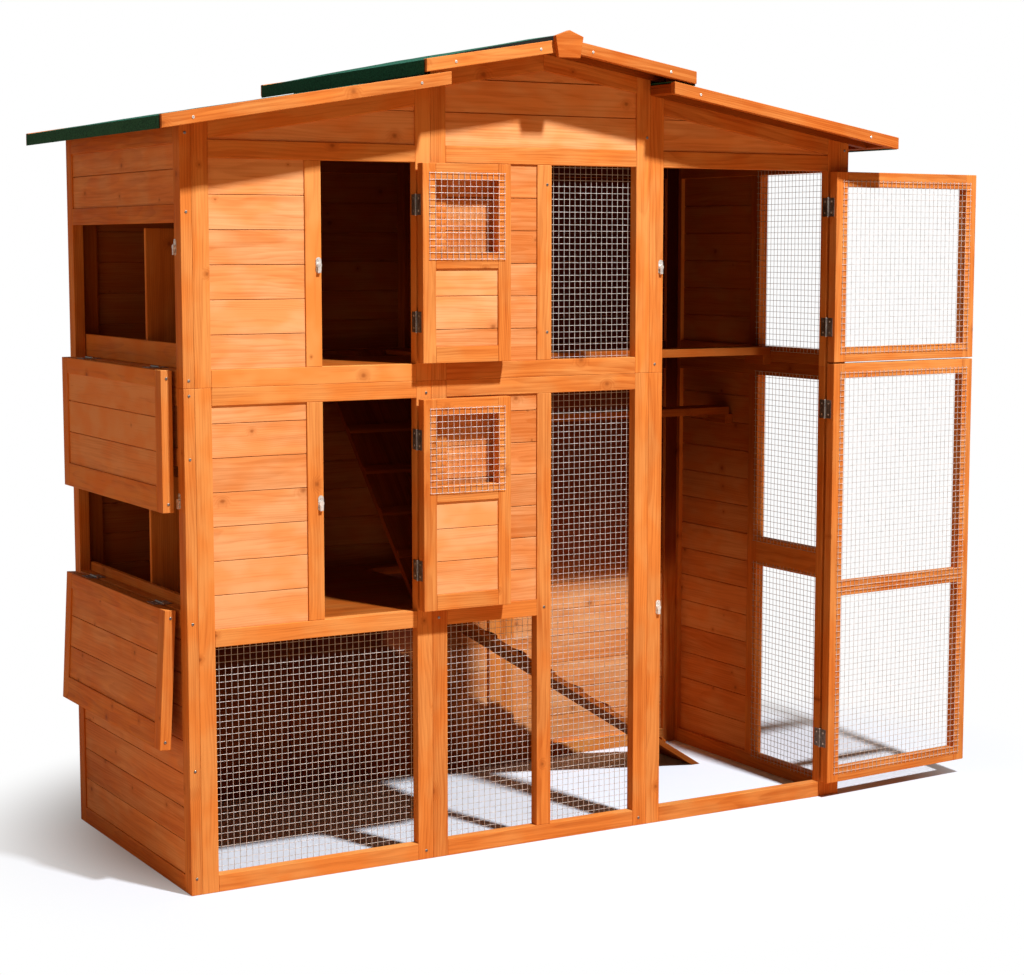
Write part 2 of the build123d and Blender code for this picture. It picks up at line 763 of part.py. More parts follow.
def hang(planes, swing_axis, swing):
    """Fit the fixed leaves and pins, and return the moving leaves swung open."""
    fixed_leaves.extend(hinge_leaf(plane, 1, fixed_knuckles) for plane in planes)
    pins.extend(hinge_pin(plane) for plane in planes)
    return swung([hinge_leaf(plane, -1, moving_knuckles) for plane in planes], swing_axis, swing)


def swung(pieces, swing_axis, swing):
    """Pieces turned from shut to open about the pin axis."""
    return [piece.rotate(swing_axis, swing) for piece in pieces]


def fit_button(name, plane):
    """Screw a turn button to its post."""
    plates.append(button_plate(plane))
    save(f"{name}_button", [button_finger(plane)])


def door_frame(x, z, stile, crossbars):
    """Two stiles with a bottom rail, a top rail and crossbars between them, shut in the doorway."""
    rails = (x[0] + stile, x[1] - stile)
    pieces = [timber((x[0], rails[0]), front, z), timber((rails[1], x[1]), front, z)]
    for base in (z[0], *crossbars, z[1] - door_timber):
        pieces.append(timber(rails, front, (base, base + door_timber)))
    return pieces


def hang_front_door(name, doorway, z, hinge_inset, button_height, swing):
    """Hinges of a front door on its right jamb and the turn button on its left; returns the pin axis."""
    pin_x = doorway[1] - hinge_gap / 2
    pin_y = y_front - pin_offset
    axis = Axis((pin_x, pin_y, 0), (0, 0, 1))
    planes = [
        Plane(origin=(pin_x, pin_y, height), x_dir=(1, 0, 0), z_dir=(0, 0, 1))
        for height in (z[0] + hinge_inset, z[1] - hinge_inset)
    ]
    save(f"{name}_hinge_leaves", hang(planes, axis, swing))
    pivot = (doorway[0] - button_inset, y_front, z[0] + button_height)
    fit_button(name, Plane(origin=pivot, x_dir=(1, 0, 0), z_dir=(0, -1, 0)))
    return axis


# House doors: boards below, a net window above, swung back against the front
house_door = (house_doorway[0] + latch_gap, house_doorway[1] - hinge_gap)
house_door_fill = (house_door[0] + house_door_stile, house_door[1] - house_door_stile)
for name, storey, button_height in (
    ("upper_house_door", upper_storey, upper_house_button_above_base),
    ("lower_house_door", lower_storey, lower_house_button_above_base),
):
    height = (storey[0] + latch_gap, storey[1] - latch_gap)
    window_top = height[1] - door_timber
    window_base = window_top - house_window_height
    middle_rail = window_base - door_timber
    axis = hang_front_door(name, house_doorway, height, house_hinge_inset, button_height, house_door_swing)
    frame = door_frame(house_door, height, house_door_stile, [middle_rail])
    board_field = (height[0] + door_timber, middle_rail)
    fill = boards(house_door_fill, door_boards, board_field, house_door_top_board)
    mesh = [front_opening_net(house_door_fill, (window_base, window_top))]
    save(f"{name}_frame", swung(frame, axis, house_door_swing))
    save(f"{name}_boards", swung(fill, axis, house_door_swing))
    save(f"{name}_mesh", swung(mesh, axis, house_door_swing))

# Run doors: net all over, the tall lower one with a crossbar
run_door = (run_doorway[0] + latch_gap, run_doorway[1] - hinge_gap)
run_door_fill = (run_door[0] + door_timber, run_door[1] - door_timber)
lower_run_height = (timber_width + latch_gap, run_door_split - latch_gap)
upper_run_height = (run_door_split + latch_gap, head_rail_base - latch_gap)
for name, height, crossbars, hinge_inset, button_height in (
    ("upper_run_door", upper_run_height, [], upper_run_hinge_inset, upper_run_button_above_base),
    ("lower_run_door", lower_run_height, [lower_run_height[0] + run_crossbar_above_base],
     lower_run_hinge_inset, lower_run_button_above_base),
):
    axis = hang_front_door(name, run_doorway, height, hinge_inset, button_height, run_door_swing)
    frame = door_frame(run_door, height, door_timber, crossbars)
    bases = [height[0] + door_timber, *(bar + door_timber for bar in crossbars)]
    tops = [*crossbars, height[1] - door_timber]
    mesh = [front_opening_net(run_door_fill, span) for span in zip(bases, tops)]
    save(f"{name}_frame", swung(frame, axis, run_door_swing))
    save(f"{name}_mesh", swung(mesh, axis, run_door_swing))

# Nest hatches: hinged at their lower edge, hanging open outside the left wall
hatch_span = (between_posts[0] + latch_gap, between_posts[1] - latch_gap)
hatch_rails = (hatch_span[0] + door_timber, hatch_span[1] - door_timber)
hatch_boards = (-x_inner - board_recess - board_thickness, -x_inner - board_recess)
for name, opening, button_height, swing in (
    ("upper_nest_hatch", upper_nest, upper_hatch_button_above_base, upper_hatch_swing),
    ("lower_nest_hatch", lower_nest, lower_hatch_button_above_base, lower_hatch_swing),
):
    height = (opening[0] + hinge_gap, opening[1] - latch_gap)
    pin_x = -half_width - pin_offset
    pin_z = opening[0] + hinge_gap / 2
    axis = Axis((pin_x, 0, pin_z), (0, -1, 0))
    planes = [
        Plane(origin=(pin_x, y, pin_z), x_dir=(0, 0, -1), z_dir=(0, -1, 0))
        for y in (hatch_span[0] + hatch_hinge_inset, hatch_span[1] - hatch_hinge_inset)
    ]
    save(f"{name}_hinge_leaves", hang(planes, axis, swing))
    pivot = (-half_width, between_posts[0] - button_inset, height[0] + button_height)
    fit_button(name, Plane(origin=pivot, x_dir=(0, -1, 0), z_dir=(-1, 0, 0)))
    frame = [
        timber(left_wall, (hatch_span[0], hatch_rails[0]), height),
        timber(left_wall, (hatch_rails[1], hatch_span[1]), height),
        timber(left_wall, hatch_rails, (height[0], height[0] + door_timber)),
        timber(left_wall, hatch_rails, (height[1] - hatch_free_rail, height[1])),
    ]
    board_field = (height[0] + door_timber, height[1] - hatch_free_rail)
    fill = boards(hatch_boards, hatch_rails, board_field, board_pitch)
    save(f"{name}_frame", swung(frame, axis, swing))
    save(f"{name}_boards", swung(fill, axis, swing))

save("hinge_fixed_leaves", fixed_leaves)
save("hinge_pins", pins)
save("button_plates", plates)
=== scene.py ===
"""Looks of a timber chicken coop with run, laid out as an add-on and run as a script.

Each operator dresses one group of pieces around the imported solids, which stay where they are.
All lengths are in metres, in the frame of the solids: X along the front, Y to the back, Z up.
"""

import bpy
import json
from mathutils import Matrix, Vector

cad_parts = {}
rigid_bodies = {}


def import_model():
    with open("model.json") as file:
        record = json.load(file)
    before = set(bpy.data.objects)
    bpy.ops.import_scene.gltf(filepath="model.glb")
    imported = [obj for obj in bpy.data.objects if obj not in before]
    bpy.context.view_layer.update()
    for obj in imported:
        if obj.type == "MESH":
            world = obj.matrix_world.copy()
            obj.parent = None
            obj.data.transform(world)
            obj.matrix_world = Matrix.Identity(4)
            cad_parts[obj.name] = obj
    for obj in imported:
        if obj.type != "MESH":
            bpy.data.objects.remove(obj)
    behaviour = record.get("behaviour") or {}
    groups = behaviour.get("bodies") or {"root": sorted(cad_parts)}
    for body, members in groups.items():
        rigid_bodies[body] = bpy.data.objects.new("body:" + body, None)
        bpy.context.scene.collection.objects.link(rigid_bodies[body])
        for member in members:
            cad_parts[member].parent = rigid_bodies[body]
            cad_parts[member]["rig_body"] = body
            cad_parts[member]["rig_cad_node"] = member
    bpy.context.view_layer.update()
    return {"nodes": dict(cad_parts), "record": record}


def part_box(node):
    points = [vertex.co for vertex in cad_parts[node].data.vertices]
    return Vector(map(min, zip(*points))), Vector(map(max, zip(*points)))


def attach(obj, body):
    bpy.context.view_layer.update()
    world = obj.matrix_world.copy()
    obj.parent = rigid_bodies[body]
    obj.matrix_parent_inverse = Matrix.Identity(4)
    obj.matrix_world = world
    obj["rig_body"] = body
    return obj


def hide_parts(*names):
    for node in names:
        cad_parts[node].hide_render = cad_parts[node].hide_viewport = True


bl_info = {
    "name": "Chicken coop with run",
    "version": (1, 0, 0),
    "blender": (4, 5, 0),
    "location": "View3D > Sidebar > Coop",
    "description": "Dresses the solids of a chicken coop with timber, net, felt, hinges and screws",
    "category": "Object",
}

import json
import math
import random

import bpy
import numpy as np
from bpy.props import FloatProperty, FloatVectorProperty, PointerProperty
from mathutils import Matrix, Vector

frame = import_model()

UP = Vector((0.0, 0.0, 1.0))
RIGHT = Vector((1.0, 0.0, 0.0))
BACK = Vector((0.0, 1.0, 0.0))
NODE_BODY = {
    node: body for body, nodes in frame["record"]["behaviour"]["bodies"].items() for node in nodes
}
NODE_SLOT = {entry["node"]: entry["material_slot"] for entry in frame["record"]["subparts"]}
WELD = 1e-5  # points nearer than this belong to one corner
FLAT_ANGLE = math.radians(0.5)  # faces that meet at less than this are one flat face
FACING = 0.9  # a face whose normal has this share of a direction looks that way
FRONT_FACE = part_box("front_centre_frame")[0].y  # outer face of the front panels

SIZES = {  # details that the solids leave out
    "arris": (0.0014, "Width of the eased edges of the timbers"),
    "tongue": (0.004, "Thickness of the tongues between the boards"),
    "tongue_reach": (0.0015, "How far a tongue enters the next board"),
    "felt_set_back": (0.010, "How far the felt ends behind the fascias' faces"),
    "ridge_lap": (0.012, "How thick the lapped felt lies left of the ridge"),
    "fascia_rise": (0.004, "How far the fascias rise to cover the felt's ends"),
    "flap_drop": (0.003, "How far the felt's eave flaps hang below their solids"),
    "felt_lift": (0.005, "How far the felt bulges off its deck"),
    "wire": (0.0012, "Diameter of the net's wires"),
    "pitch": (0.016, "Distance between the net's wires"),
    "wire_step": (0.064, "Length of the straight stretches in a slightly wavy wire"),
    "wire_sway": (0.002, "How far the net bows off its frame"),
    "door_lap": (0.007, "How much further the doors' nets reach onto their frames"),
    "screw_radius": (0.0035, "Radius of the panel screws' heads"),
    "leaf_screw_radius": (0.0028, "Radius of the hinge screws' heads"),
    "screw_height": (0.0015, "How far the panel screws' heads stand"),
    "leaf_screw_height": (0.0003, "How far the hinge screws' heads stand"),
}
COLOURS = {  # finishes
    "stain": ((0.72, 0.290, 0.074), "Honey stain on the framing timbers"),
    "stain_dark": ((0.43, 0.118, 0.021), "Late rings and fibres of the framing"),
    "board": ((0.80, 0.388, 0.160), "Paler stain on the boards"),
    "board_dark": ((0.54, 0.19, 0.052), "Late rings and fibres of boards"),
    # The inside colours are the stain darkened as painted shade inside the coop
    "inside": ((0.36, 0.104, 0.018), "Stain on the timbers inside"),
    "inside_dark": ((0.19, 0.043, 0.006), "Late rings and fibres inside"),
    "knot": ((0.24, 0.062, 0.012), "Knots in the fir"),
    "felt": ((0.008, 0.088, 0.060), "Green mineral felt"),
    "wire": ((0.41, 0.41, 0.41), "Galvanised wire"),
    "hinge": ((0.16, 0.15, 0.147), "Dark hinge steel"),
    "zinc": ((0.66, 0.66, 0.65), "Bright zinc of pins, buttons and screws"),
    "floor": ((0.67, 0.75, 0.88), "Pale floor"),
    "bounce": ((0.64, 0.34, 0.15), "Light thrown back by the floor"),
    "bounce_inside": ((0.20, 0.09, 0.03), "Light thrown back by the floor inside"),
    "sky": ((0.13, 0.07, 0.037), "Soft light from all around"),
}


def words(name):
    """The name of a property in words."""
    return name.replace("_", " ").capitalize()


class CoopSizes(bpy.types.PropertyGroup):
    """Lengths that a user may change."""

    __annotations__ = {
        name: FloatProperty(
            name=words(name), description=about, default=default, unit="LENGTH", min=0.0, precision=4
        )
        for name, (default, about) in SIZES.items()
    }


class CoopColours(bpy.types.PropertyGroup):
    """Colours that a user may change."""

    __annotations__ = {
        name: FloatVectorProperty(
            name=words(name), description=about, default=default, subtype="COLOR", size=3, min=0.0, max=1.0
        )
        for name, (default, about) in COLOURS.items()
    }


# Selection and small modelling helpers


def select_only(*objects):
    """Leave only these objects selected, the first of them active."""
    bpy.ops.object.select_all(action="DESELECT")
    for each in objects:
        each.select_set(True)
    bpy.context.view_layer.objects.active = objects[0]


def apply_modifier(piece, kind, **settings):
    """Add a modifier with these settings and apply it."""
    select_only(piece)
    bpy.ops.object.modifier_add(type=kind)
    modifier = piece.modifiers[-1]
    for setting, value in settings.items():
        setattr(modifier, setting, value)
    bpy.ops.object.modifier_apply(modifier=modifier.name)


def settle(piece, name, matrix=None):
    """Name a piece and put its place into its mesh."""
    if matrix is not None:
        piece.matrix_world = matrix
    select_only(piece)
    bpy.ops.object.transform_apply(location=True, rotation=True, scale=True)
    piece.name = name
    piece.data.name = name
    return piece


def join(pieces):
    """Join pieces into the first one."""
    select_only(*pieces)
    if len(pieces) > 1:
        bpy.ops.object.join()
    return pieces[0]


def points_of(mesh):
    """Corner points of a mesh as rows of X, Y and Z."""
    points = np.zeros(len(mesh.vertices) * 3, np.float32)
    mesh.vertices.foreach_get("co", points)
    return points.reshape(-1, 3).astype(float)


def solid_numbers(mesh):
    """Number of the closed solid that each face of a CAD mesh belongs to, in stored order."""
    corners = [tuple(round(value / WELD) for value in vertex.co) for vertex in mesh.vertices]
    open_edges = {}
    numbers = []
    current = 0
    for face in mesh.polygons:
        ring = [corners[index] for index in face.vertices]
        for edge in zip(ring, ring[1:] + ring[:1]):
            back = edge[::-1]
            if back in open_edges:
                open_edges[back] -= 1
                if not open_edges[back]:
                    del open_edges[back]
            else:
                open_edges[edge] = open_edges.get(edge, 0) + 1
        numbers.append(current)
        if not open_edges:
            current += 1
    return numbers


def solid_faces(mesh):
    """Faces of each separate solid of a CAD mesh."""
    groups = {}
    for face, number in zip(mesh.polygons, solid_numbers(mesh)):
        groups.setdefault(number, []).append(face)
    return list(groups.values())


def corners_of(faces, points):
    """Points at the corners of some faces."""
    return points[sorted({index for face in faces for index in face.vertices})]


def solid_points(node):
    """Corner points of each separate solid of a CAD node."""
    mesh = frame["nodes"][node].data
    points = points_of(mesh)
    return [corners_of(faces, points) for faces in solid_faces(mesh)]


# Shader helpers and node groups

MIX_COLOUR_INPUTS = (0, 6, 7)  # factor, first and second colour of a Mix node
MIX_COLOUR_OUTPUT = 2


class Graph:
    """Adds nodes to one node tree and links them."""

    def __init__(self, tree):
        self.tree = tree

    def add(self, kind, inputs=None, **settings):
        """A node with its settings, and with values or links on its inputs."""
        node = self.tree.nodes.new(kind)
        for setting, value in settings.items():
            setattr(node, setting, value)
        for key, value in (inputs or {}).items():
            self.put(node.inputs[key], value)
        return node

    def put(self, socket, value):
        """Link an output to a socket, or set the socket's own value."""
        if isinstance(value, bpy.types.NodeSocket):
            self.tree.links.new(value, socket)
        else:
            socket.default_value = value

    def math(self, operation, *values, clamp=False):
        """Output of a Math node."""
        inputs = dict(enumerate(values))
        return self.add("ShaderNodeMath", inputs, operation=operation, use_clamp=clamp).outputs[0]

    def times(self, first, second):
        """Product of two values."""
        return self.math("MULTIPLY", first, second)

    def vector(self, operation, *values):
        """Output of a Vector Math node."""
        node = self.add("ShaderNodeVectorMath", dict(enumerate(values)), operation=operation)
        return node.outputs["Value" if operation in ("LENGTH", "DOT_PRODUCT") else "Vector"]

    def mix(self, factor, first, second, blend="MIX"):
        """Colour between first and second."""
        inputs = dict(zip(MIX_COLOUR_INPUTS, (factor, first, second)))
        node = self.add("ShaderNodeMix", inputs, data_type="RGBA", blend_type=blend)
        return node.outputs[MIX_COLOUR_OUTPUT]

    def ramp(self, value, low, high):
        """Value taken smoothly from 0 at low to 1 at high."""
        inputs = {"Value": value, "From Min": low, "From Max": high}
        return self.add("ShaderNodeMapRange", inputs, interpolation_type="SMOOTHSTEP").outputs[0]

    def noise(self, vector, scale, detail=2.0, roughness=0.5):
        """Noise value at a place."""
        inputs = {"Vector": vector, "Scale": scale, "Detail": detail, "Roughness": roughness}
        return self.add("ShaderNodeTexNoise", inputs).outputs["Fac"]


COLOUR_SOCKET = "NodeSocketColor"
VALUE_SOCKET = "NodeSocketFloat"
SURFACE_OUTPUTS = {"Color": COLOUR_SOCKET, "Roughness": VALUE_SOCKET, "Height": VALUE_SOCKET}


def new_group(name, inputs):
    """An empty shader node group: its graph, the sockets of its inputs and its output node."""
    tree = bpy.data.node_groups.new(name, "ShaderNodeTree")
    for socket, default in inputs.items():
        kind = COLOUR_SOCKET if isinstance(default, tuple) else VALUE_SOCKET
        made = tree.interface.new_socket(name=socket, in_out="INPUT", socket_type=kind)
        made.default_value = default
    for socket, kind in SURFACE_OUTPUTS.items():
        tree.interface.new_socket(name=socket, in_out="OUTPUT", socket_type=kind)
    graph = Graph(tree)
    source = graph.add("NodeGroupInput")
    return graph, source.outputs, graph.add("NodeGroupOutput")


# Patterns of the fir, in waves or cells per metre along, across and through a timber
KNOT_CELLS = (4.0, 14.0, 0.0)
KNOT_STRETCH = (4.8, 14.0, 1.0)  # shortens the knots a little along the grain
RING_BENDS = (1.7, 8.0, 8.0)
STREAKS = (3.0, 70.0, 70.0)
FIBRES = (7.0, 300.0, 300.0)
CLOUDS = (2.6, 9.0, 9.0)
HUES = (7.0, 13.0, 13.0)
HUE_SHIFT = (5.0, 3.0, 9.0)  # keeps the hues apart from the clouds
RED_HUE = (0.99, 0.85, 0.70, 1.0)
YELLOW_HUE = (1.0, 1.06, 1.18, 1.0)
KNOT_DRAW = 0.66  # cells that draw more than this hold a knot
KNOT_RADIUS = 0.0016
KNOT_SPREAD = 0.0050  # how much larger a knot may be
KNOT_SWELL = 0.009  # how far the rings swing round a knot
RING_SWING = 0.036  # how far the rings wander
KNOT_CORE = (1.5, 0.2)  # radii of a knot between which its core sets in
KNOT_HALO = (4.2, 0.9)
KNOT_SHARE = 0.62  # how far the core covers the stain
HALO_SHARE = 0.5
RAGS = 160.0  # notches per metre in a knot's edge
RAG_DEPTH = 0.003
RING_RISE = (0.2, 0.9)  # shares of a ring in which late wood sets in
RING_FALL = (1.0, 0.9)
STREAK_RANGE = (0.3, 0.7)
HUE_RANGE = (0.36, 0.64)
BASE_DEPTH = 0.22  # share of the dark stain before any pattern
STREAK_SHARE = 0.42
FIBRE_SHARE = 0.8
CLOUD_SHARE = 0.7

# Where the faces that look in get painted shade, in metres: high up, in the house and on the back wall
PAINTED_SHADE_HEIGHT = (0.6, 1.0)
HOUSE_EDGE = (0.25, 0.05)
RUN_EDGE = (0.05, 0.30)
BACK_SHADE_LEVELS = ((0.50, 0.62), (1.00, 1.30))  # heights at which the back wall's two layers of painted shade set in
UNDER_FLOOR = ((0.20, 0.50), (0.62, 0.58))  # below the house floor the painted shade sets in and ends


def fir_grain_and_shade_group():
    """Stained fir: streaks and faint rings along each timber, clouds of stain and a few knots, with painted
    shade on the faces that look into the coop.
    """
    graph, given, result = new_group("Fir grain and painted shade", {
        "Light": (0.6, 0.25, 0.06, 1.0),
        "Dark": (0.4, 0.12, 0.02, 1.0),
        "Knot": (0.15, 0.04, 0.01, 1.0),
        "Inner painted shade": (0.50, 0.38, 0.27, 1.0),
        "Back wall painted shade": (0.40, 0.27, 0.40, 1.0),
        "Ring spacing": 0.0045,
        "Ring strength": 0.24,
        "Tone strength": 0.16,
    })
    grain = graph.add("ShaderNodeAttribute", attribute_name="grain").outputs["Vector"]
    tone = graph.add("ShaderNodeAttribute", attribute_name="tone").outputs["Fac"]

    # Knots: at most one in each cell of a stretched pattern, round and of its own size
    knot_place = graph.vector("MULTIPLY", grain, KNOT_CELLS)
    cells = graph.add("ShaderNodeTexVoronoi", {"Vector": knot_place, "Scale": 1.0, "Randomness": 0.9},
                      voronoi_dimensions="2D")
    draws = graph.add("ShaderNodeSeparateColor", {"Color": cells.outputs["Color"]}).outputs
    chosen = graph.math("GREATER_THAN", draws[0], KNOT_DRAW)
    away = graph.vector("SUBTRACT", knot_place, cells.outputs["Position"])
    away = graph.vector("DIVIDE", away, KNOT_STRETCH)
    ragged = graph.times(graph.math("SUBTRACT", graph.noise(grain, RAGS), 0.5), RAG_DEPTH)
    reach = graph.math("ADD", graph.vector("LENGTH", away), ragged)
    size = graph.math("MULTIPLY_ADD", draws[1], KNOT_SPREAD, KNOT_RADIUS)
    radii = graph.math("DIVIDE", reach, size)
    knot_core = graph.times(graph.ramp(radii, *KNOT_CORE), chosen)
    knot_halo = graph.times(graph.ramp(radii, *KNOT_HALO), chosen)

    # Rings: distance from the pith, bent by slow noise and by the knots
    slow = graph.vector("MULTIPLY", grain, RING_BENDS)
    bend = graph.times(graph.math("SUBTRACT", graph.noise(slow, 1.0, 3.0), 0.5), RING_SWING)
    across = graph.vector("LENGTH", graph.vector("MULTIPLY", grain, (0.0, 1.0, 1.0)))
    swell = graph.times(knot_halo, KNOT_SWELL)
    radius = graph.math("ADD", graph.math("ADD", across, bend), swell)
    phase = graph.math("FRACT", graph.math("DIVIDE", radius, given["Ring spacing"]))
    late = graph.times(graph.ramp(phase, *RING_RISE), graph.ramp(phase, *RING_FALL))

    # Streaks along the grain, fine fibres and large clouds of stain
    streak, fibre, cloud = (
        graph.noise(graph.vector("MULTIPLY", grain, waves), 1.0, 3.0, 0.6)
        for waves in (STREAKS, FIBRES, CLOUDS)
    )
    streak = graph.ramp(streak, *STREAK_RANGE)
    depth = graph.math("MULTIPLY_ADD", late, given["Ring strength"], BASE_DEPTH)
    for pattern, share in ((streak, STREAK_SHARE), (fibre, FIBRE_SHARE), (cloud, CLOUD_SHARE)):
        offset = graph.math("SUBTRACT", pattern, 0.5)
        depth = graph.math("ADD", depth, graph.times(offset, share))
    depth = graph.math("ADD", depth, graph.times(tone, given["Tone strength"]), clamp=True)

    shade = graph.mix(depth, given["Light"], given["Dark"])
    hue_place = graph.vector("ADD", graph.vector("MULTIPLY", grain, HUES), HUE_SHIFT)
    hue = graph.ramp(graph.noise(hue_place, 1.0, 2.0), *HUE_RANGE)
    shade = graph.mix(1.0, shade, graph.mix(hue, RED_HUE, YELLOW_HUE), "MULTIPLY")
    shade = graph.mix(graph.times(knot_halo, HALO_SHARE), shade, given["Dark"])
    shade = graph.mix(graph.times(knot_core, KNOT_SHARE), shade, given["Knot"])

    # Faces that look into the coop get painted shade, and the back wall the deepest painted shade
    inner = graph.add("ShaderNodeAttribute", attribute_name="inner").outputs["Fac"]
    place = graph.add("ShaderNodeTexCoord").outputs["Object"]
    spot = graph.add("ShaderNodeSeparateXYZ", {"Vector": place}).outputs
    painted_shade = graph.math("MAXIMUM", graph.ramp(spot[2], *PAINTED_SHADE_HEIGHT), graph.ramp(spot[0], *HOUSE_EDGE))
    painted_shade = graph.math("MULTIPLY", inner, painted_shade, clamp=True)
    shade = graph.mix(painted_shade, shade, given["Inner painted shade"], "MULTIPLY")
    back = graph.math("SUBTRACT", inner, 1.0, clamp=True)
    in_run = graph.ramp(spot[0], *RUN_EDGE)
    start, end = (graph.ramp(spot[2], *edge) for edge in UNDER_FLOOR)
    in_house = graph.ramp(spot[0], *RUN_EDGE[::-1])
    below_house = graph.times(graph.times(start, end), in_house)
    # Painted shade on the back wall: high up in the run, and below the house floor
    for shade_level in BACK_SHADE_LEVELS:
        above = graph.times(graph.ramp(spot[2], *shade_level), in_run)
        deep = graph.times(graph.math("MAXIMUM", above, below_house), back)
        shade = graph.mix(deep, shade, given["Back wall painted shade"], "MULTIPLY")
    graph.put(result.inputs["Color"], shade)
    rough = graph.math("ADD", graph.times(fibre, 0.22), graph.times(late, -0.06))
    graph.put(result.inputs["Roughness"], graph.math("ADD", rough, 0.44))
    height = graph.math("SUBTRACT", graph.times(fibre, 0.6), graph.times(late, 0.4))
    graph.put(result.inputs["Height"], graph.math("SUBTRACT", height, knot_core))
    return graph.tree


def metal_wear_group():
    """Spangle and scuffs of a plated or blackened metal."""
    graph, given, result = new_group("Metal wear", {
        "Base": (0.6, 0.6, 0.6, 1.0),
        "Worn": (0.8, 0.8, 0.8, 1.0),
        "Scale": 180.0,
        "Roughness": 0.35,
    })
    place = graph.add("ShaderNodeTexCoord").outputs["Object"]
    spangle = graph.noise(place, given["Scale"], 3.0, 0.6)
    patch = graph.noise(place, graph.times(given["Scale"], 0.23), 2.0)
    mask = graph.ramp(graph.math("ADD", spangle, graph.times(patch, 0.6)), 0.62, 0.98)
    graph.put(result.inputs["Color"], graph.mix(mask, given["Base"], given["Worn"]))
    spread = graph.times(graph.math("SUBTRACT", patch, 0.5), 0.4)
    graph.put(result.inputs["Roughness"], graph.math("ADD", given["Roughness"], spread, clamp=True))
    graph.put(result.inputs["Height"], spangle)
    return graph.tree


BLACK = (0.0, 0.0, 0.0, 1.0)
WHITE = (1.0, 1.0, 1.0, 1.0)
RUBBED_FELT = (0.25, 0.85, 0.62, 1.0)
CUT_FELT = (0.012, 0.014, 0.013, 1.0)  # bitumen in the cut edges


def felt_granule_group():
    """Slate granules pressed into green roofing felt, paler where they have rubbed."""
    graph, given, result = new_group("Felt granules", {"Base": (0.02, 0.07, 0.04, 1.0), "Grain scale": 420.0})
    place = graph.add("ShaderNodeTexCoord").outputs["Object"]
    grit = graph.add("ShaderNodeTexVoronoi", {"Vector": place, "Scale": given["Grain scale"]})
    speck = graph.add("ShaderNodeSeparateColor", {"Color": grit.outputs["Color"]}).outputs[0]
    patch = graph.noise(place, 7.0, 4.0, 0.6)
    dark = graph.mix(0.5, given["Base"], BLACK)
    pale = graph.mix(0.10, given["Base"], RUBBED_FELT)
    shade = graph.mix(speck, dark, pale)
    shade = graph.mix(graph.times(graph.ramp(patch, 0.45, 0.75), 0.35), shade, pale)
    facing = graph.add("ShaderNodeTexCoord").outputs["Normal"]
    cut = graph.math("ABSOLUTE", graph.vector("DOT_PRODUCT", facing, (0.0, 1.0, 0.0)))
    shade = graph.mix(graph.ramp(cut, 0.6, 0.9), shade, CUT_FELT)
    graph.put(result.inputs["Color"], shade)
    graph.put(result.inputs["Roughness"], graph.math("ADD", graph.times(speck, 0.15), 0.78))
    graph.put(result.inputs["Height"], grit.outputs["Distance"])
    return graph.tree


def rgba(colour):
    """A property's colour with full alpha."""
    return (*colour, 1.0)


def new_material(name, group, inputs, bump, bump_depth, shader):
    """A material whose surface comes from a node group, with constants on the shader itself."""
    material = bpy.data.materials.new(name)
    material.use_nodes = True
    graph = Graph(material.node_tree)
    principled = material.node_tree.nodes["Principled BSDF"]
    surface = graph.add("ShaderNodeGroup", inputs, node_tree=group)
    graph.put(principled.inputs["Base Color"], surface.outputs["Color"])
    graph.put(principled.inputs["Roughness"], surface.outputs["Roughness"])
    bump_inputs = {"Strength": bump, "Distance": bump_depth, "Height": surface.outputs["Height"]}
    relief = graph.add("ShaderNodeBump", bump_inputs)
    graph.put(principled.inputs["Normal"], relief.outputs["Normal"])
    for key, value in shader.items():
        principled.inputs[key].default_value = value
    return material


METALS = {  # worn colour, spangles per metre, roughness, strength and depth of the bump, metallic share
    "galvanised_wire": ((0.74, 0.73, 0.75, 1.0), 260.0, 0.45, 0.1, 0.0002, 0.15),
    "blackened_steel": ((0.30, 0.28, 0.26, 1.0), 240.0, 0.42, 0.15, 0.0003, 0.8),
    "bright_zinc": ((0.9, 0.9, 0.88, 1.0), 320.0, 0.3, 0.1, 0.0002, 0.6),
}


def new_metal(name, group, base):
    """One of the metals over its base colour."""
    worn, scale, roughness, bump, bump_depth, metallic = METALS[name]
    inputs = {"Base": rgba(base), "Worn": worn, "Scale": scale, "Roughness": roughness}
    return new_material(name, group, inputs, bump, bump_depth, {"Metallic": metallic})


# Copies of CAD nodes


def copy_node(node, name):
    """A copy of a CAD node as a loose piece, each face marked with the number of its solid."""
    select_only(frame["nodes"][node])
    bpy.ops.object.duplicate()
    piece = bpy.context.view_layer.objects.active
    piece.parent = None
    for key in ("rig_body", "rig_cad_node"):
        if key in piece:
            del piece[key]
    settle(piece, name)
    piece.data.attributes.new("solid", "INT", "FACE").data.foreach_set("value", solid_numbers(piece.data))
    return piece


def face_solids(mesh):
    """Number of the solid of each face."""
    numbers = np.zeros(len(mesh.polygons), np.int32)
    mesh.attributes["solid"].data.foreach_get("value", numbers)
    return numbers


def vertex_solids(mesh):
    """Number of the solid of each vertex."""
    owner = np.zeros(len(mesh.vertices), np.int32)
    for face, number in zip(mesh.polygons, face_solids(mesh)):
        owner[list(face.vertices)] = number
    return owner


def leave_edit():
    """Go back to object mode."""
    bpy.ops.object.mode_set(mode="OBJECT")


def edit_faces(piece, chosen):
    """Go into edit mode with only the chosen faces selected."""
    select_only(piece)
    bpy.context.tool_settings.mesh_select_mode = (False, False, True)
    bpy.ops.object.mode_set(mode="EDIT")
    bpy.ops.mesh.select_all(action="DESELECT")
    leave_edit()
    piece.data.polygons.foreach_set("select", [bool(each) for each in chosen])
    bpy.ops.object.mode_set(mode="EDIT")


def edit_all(piece):
    """Go into edit mode with every face selected."""
    edit_faces(piece, [True] * len(piece.data.polygons))


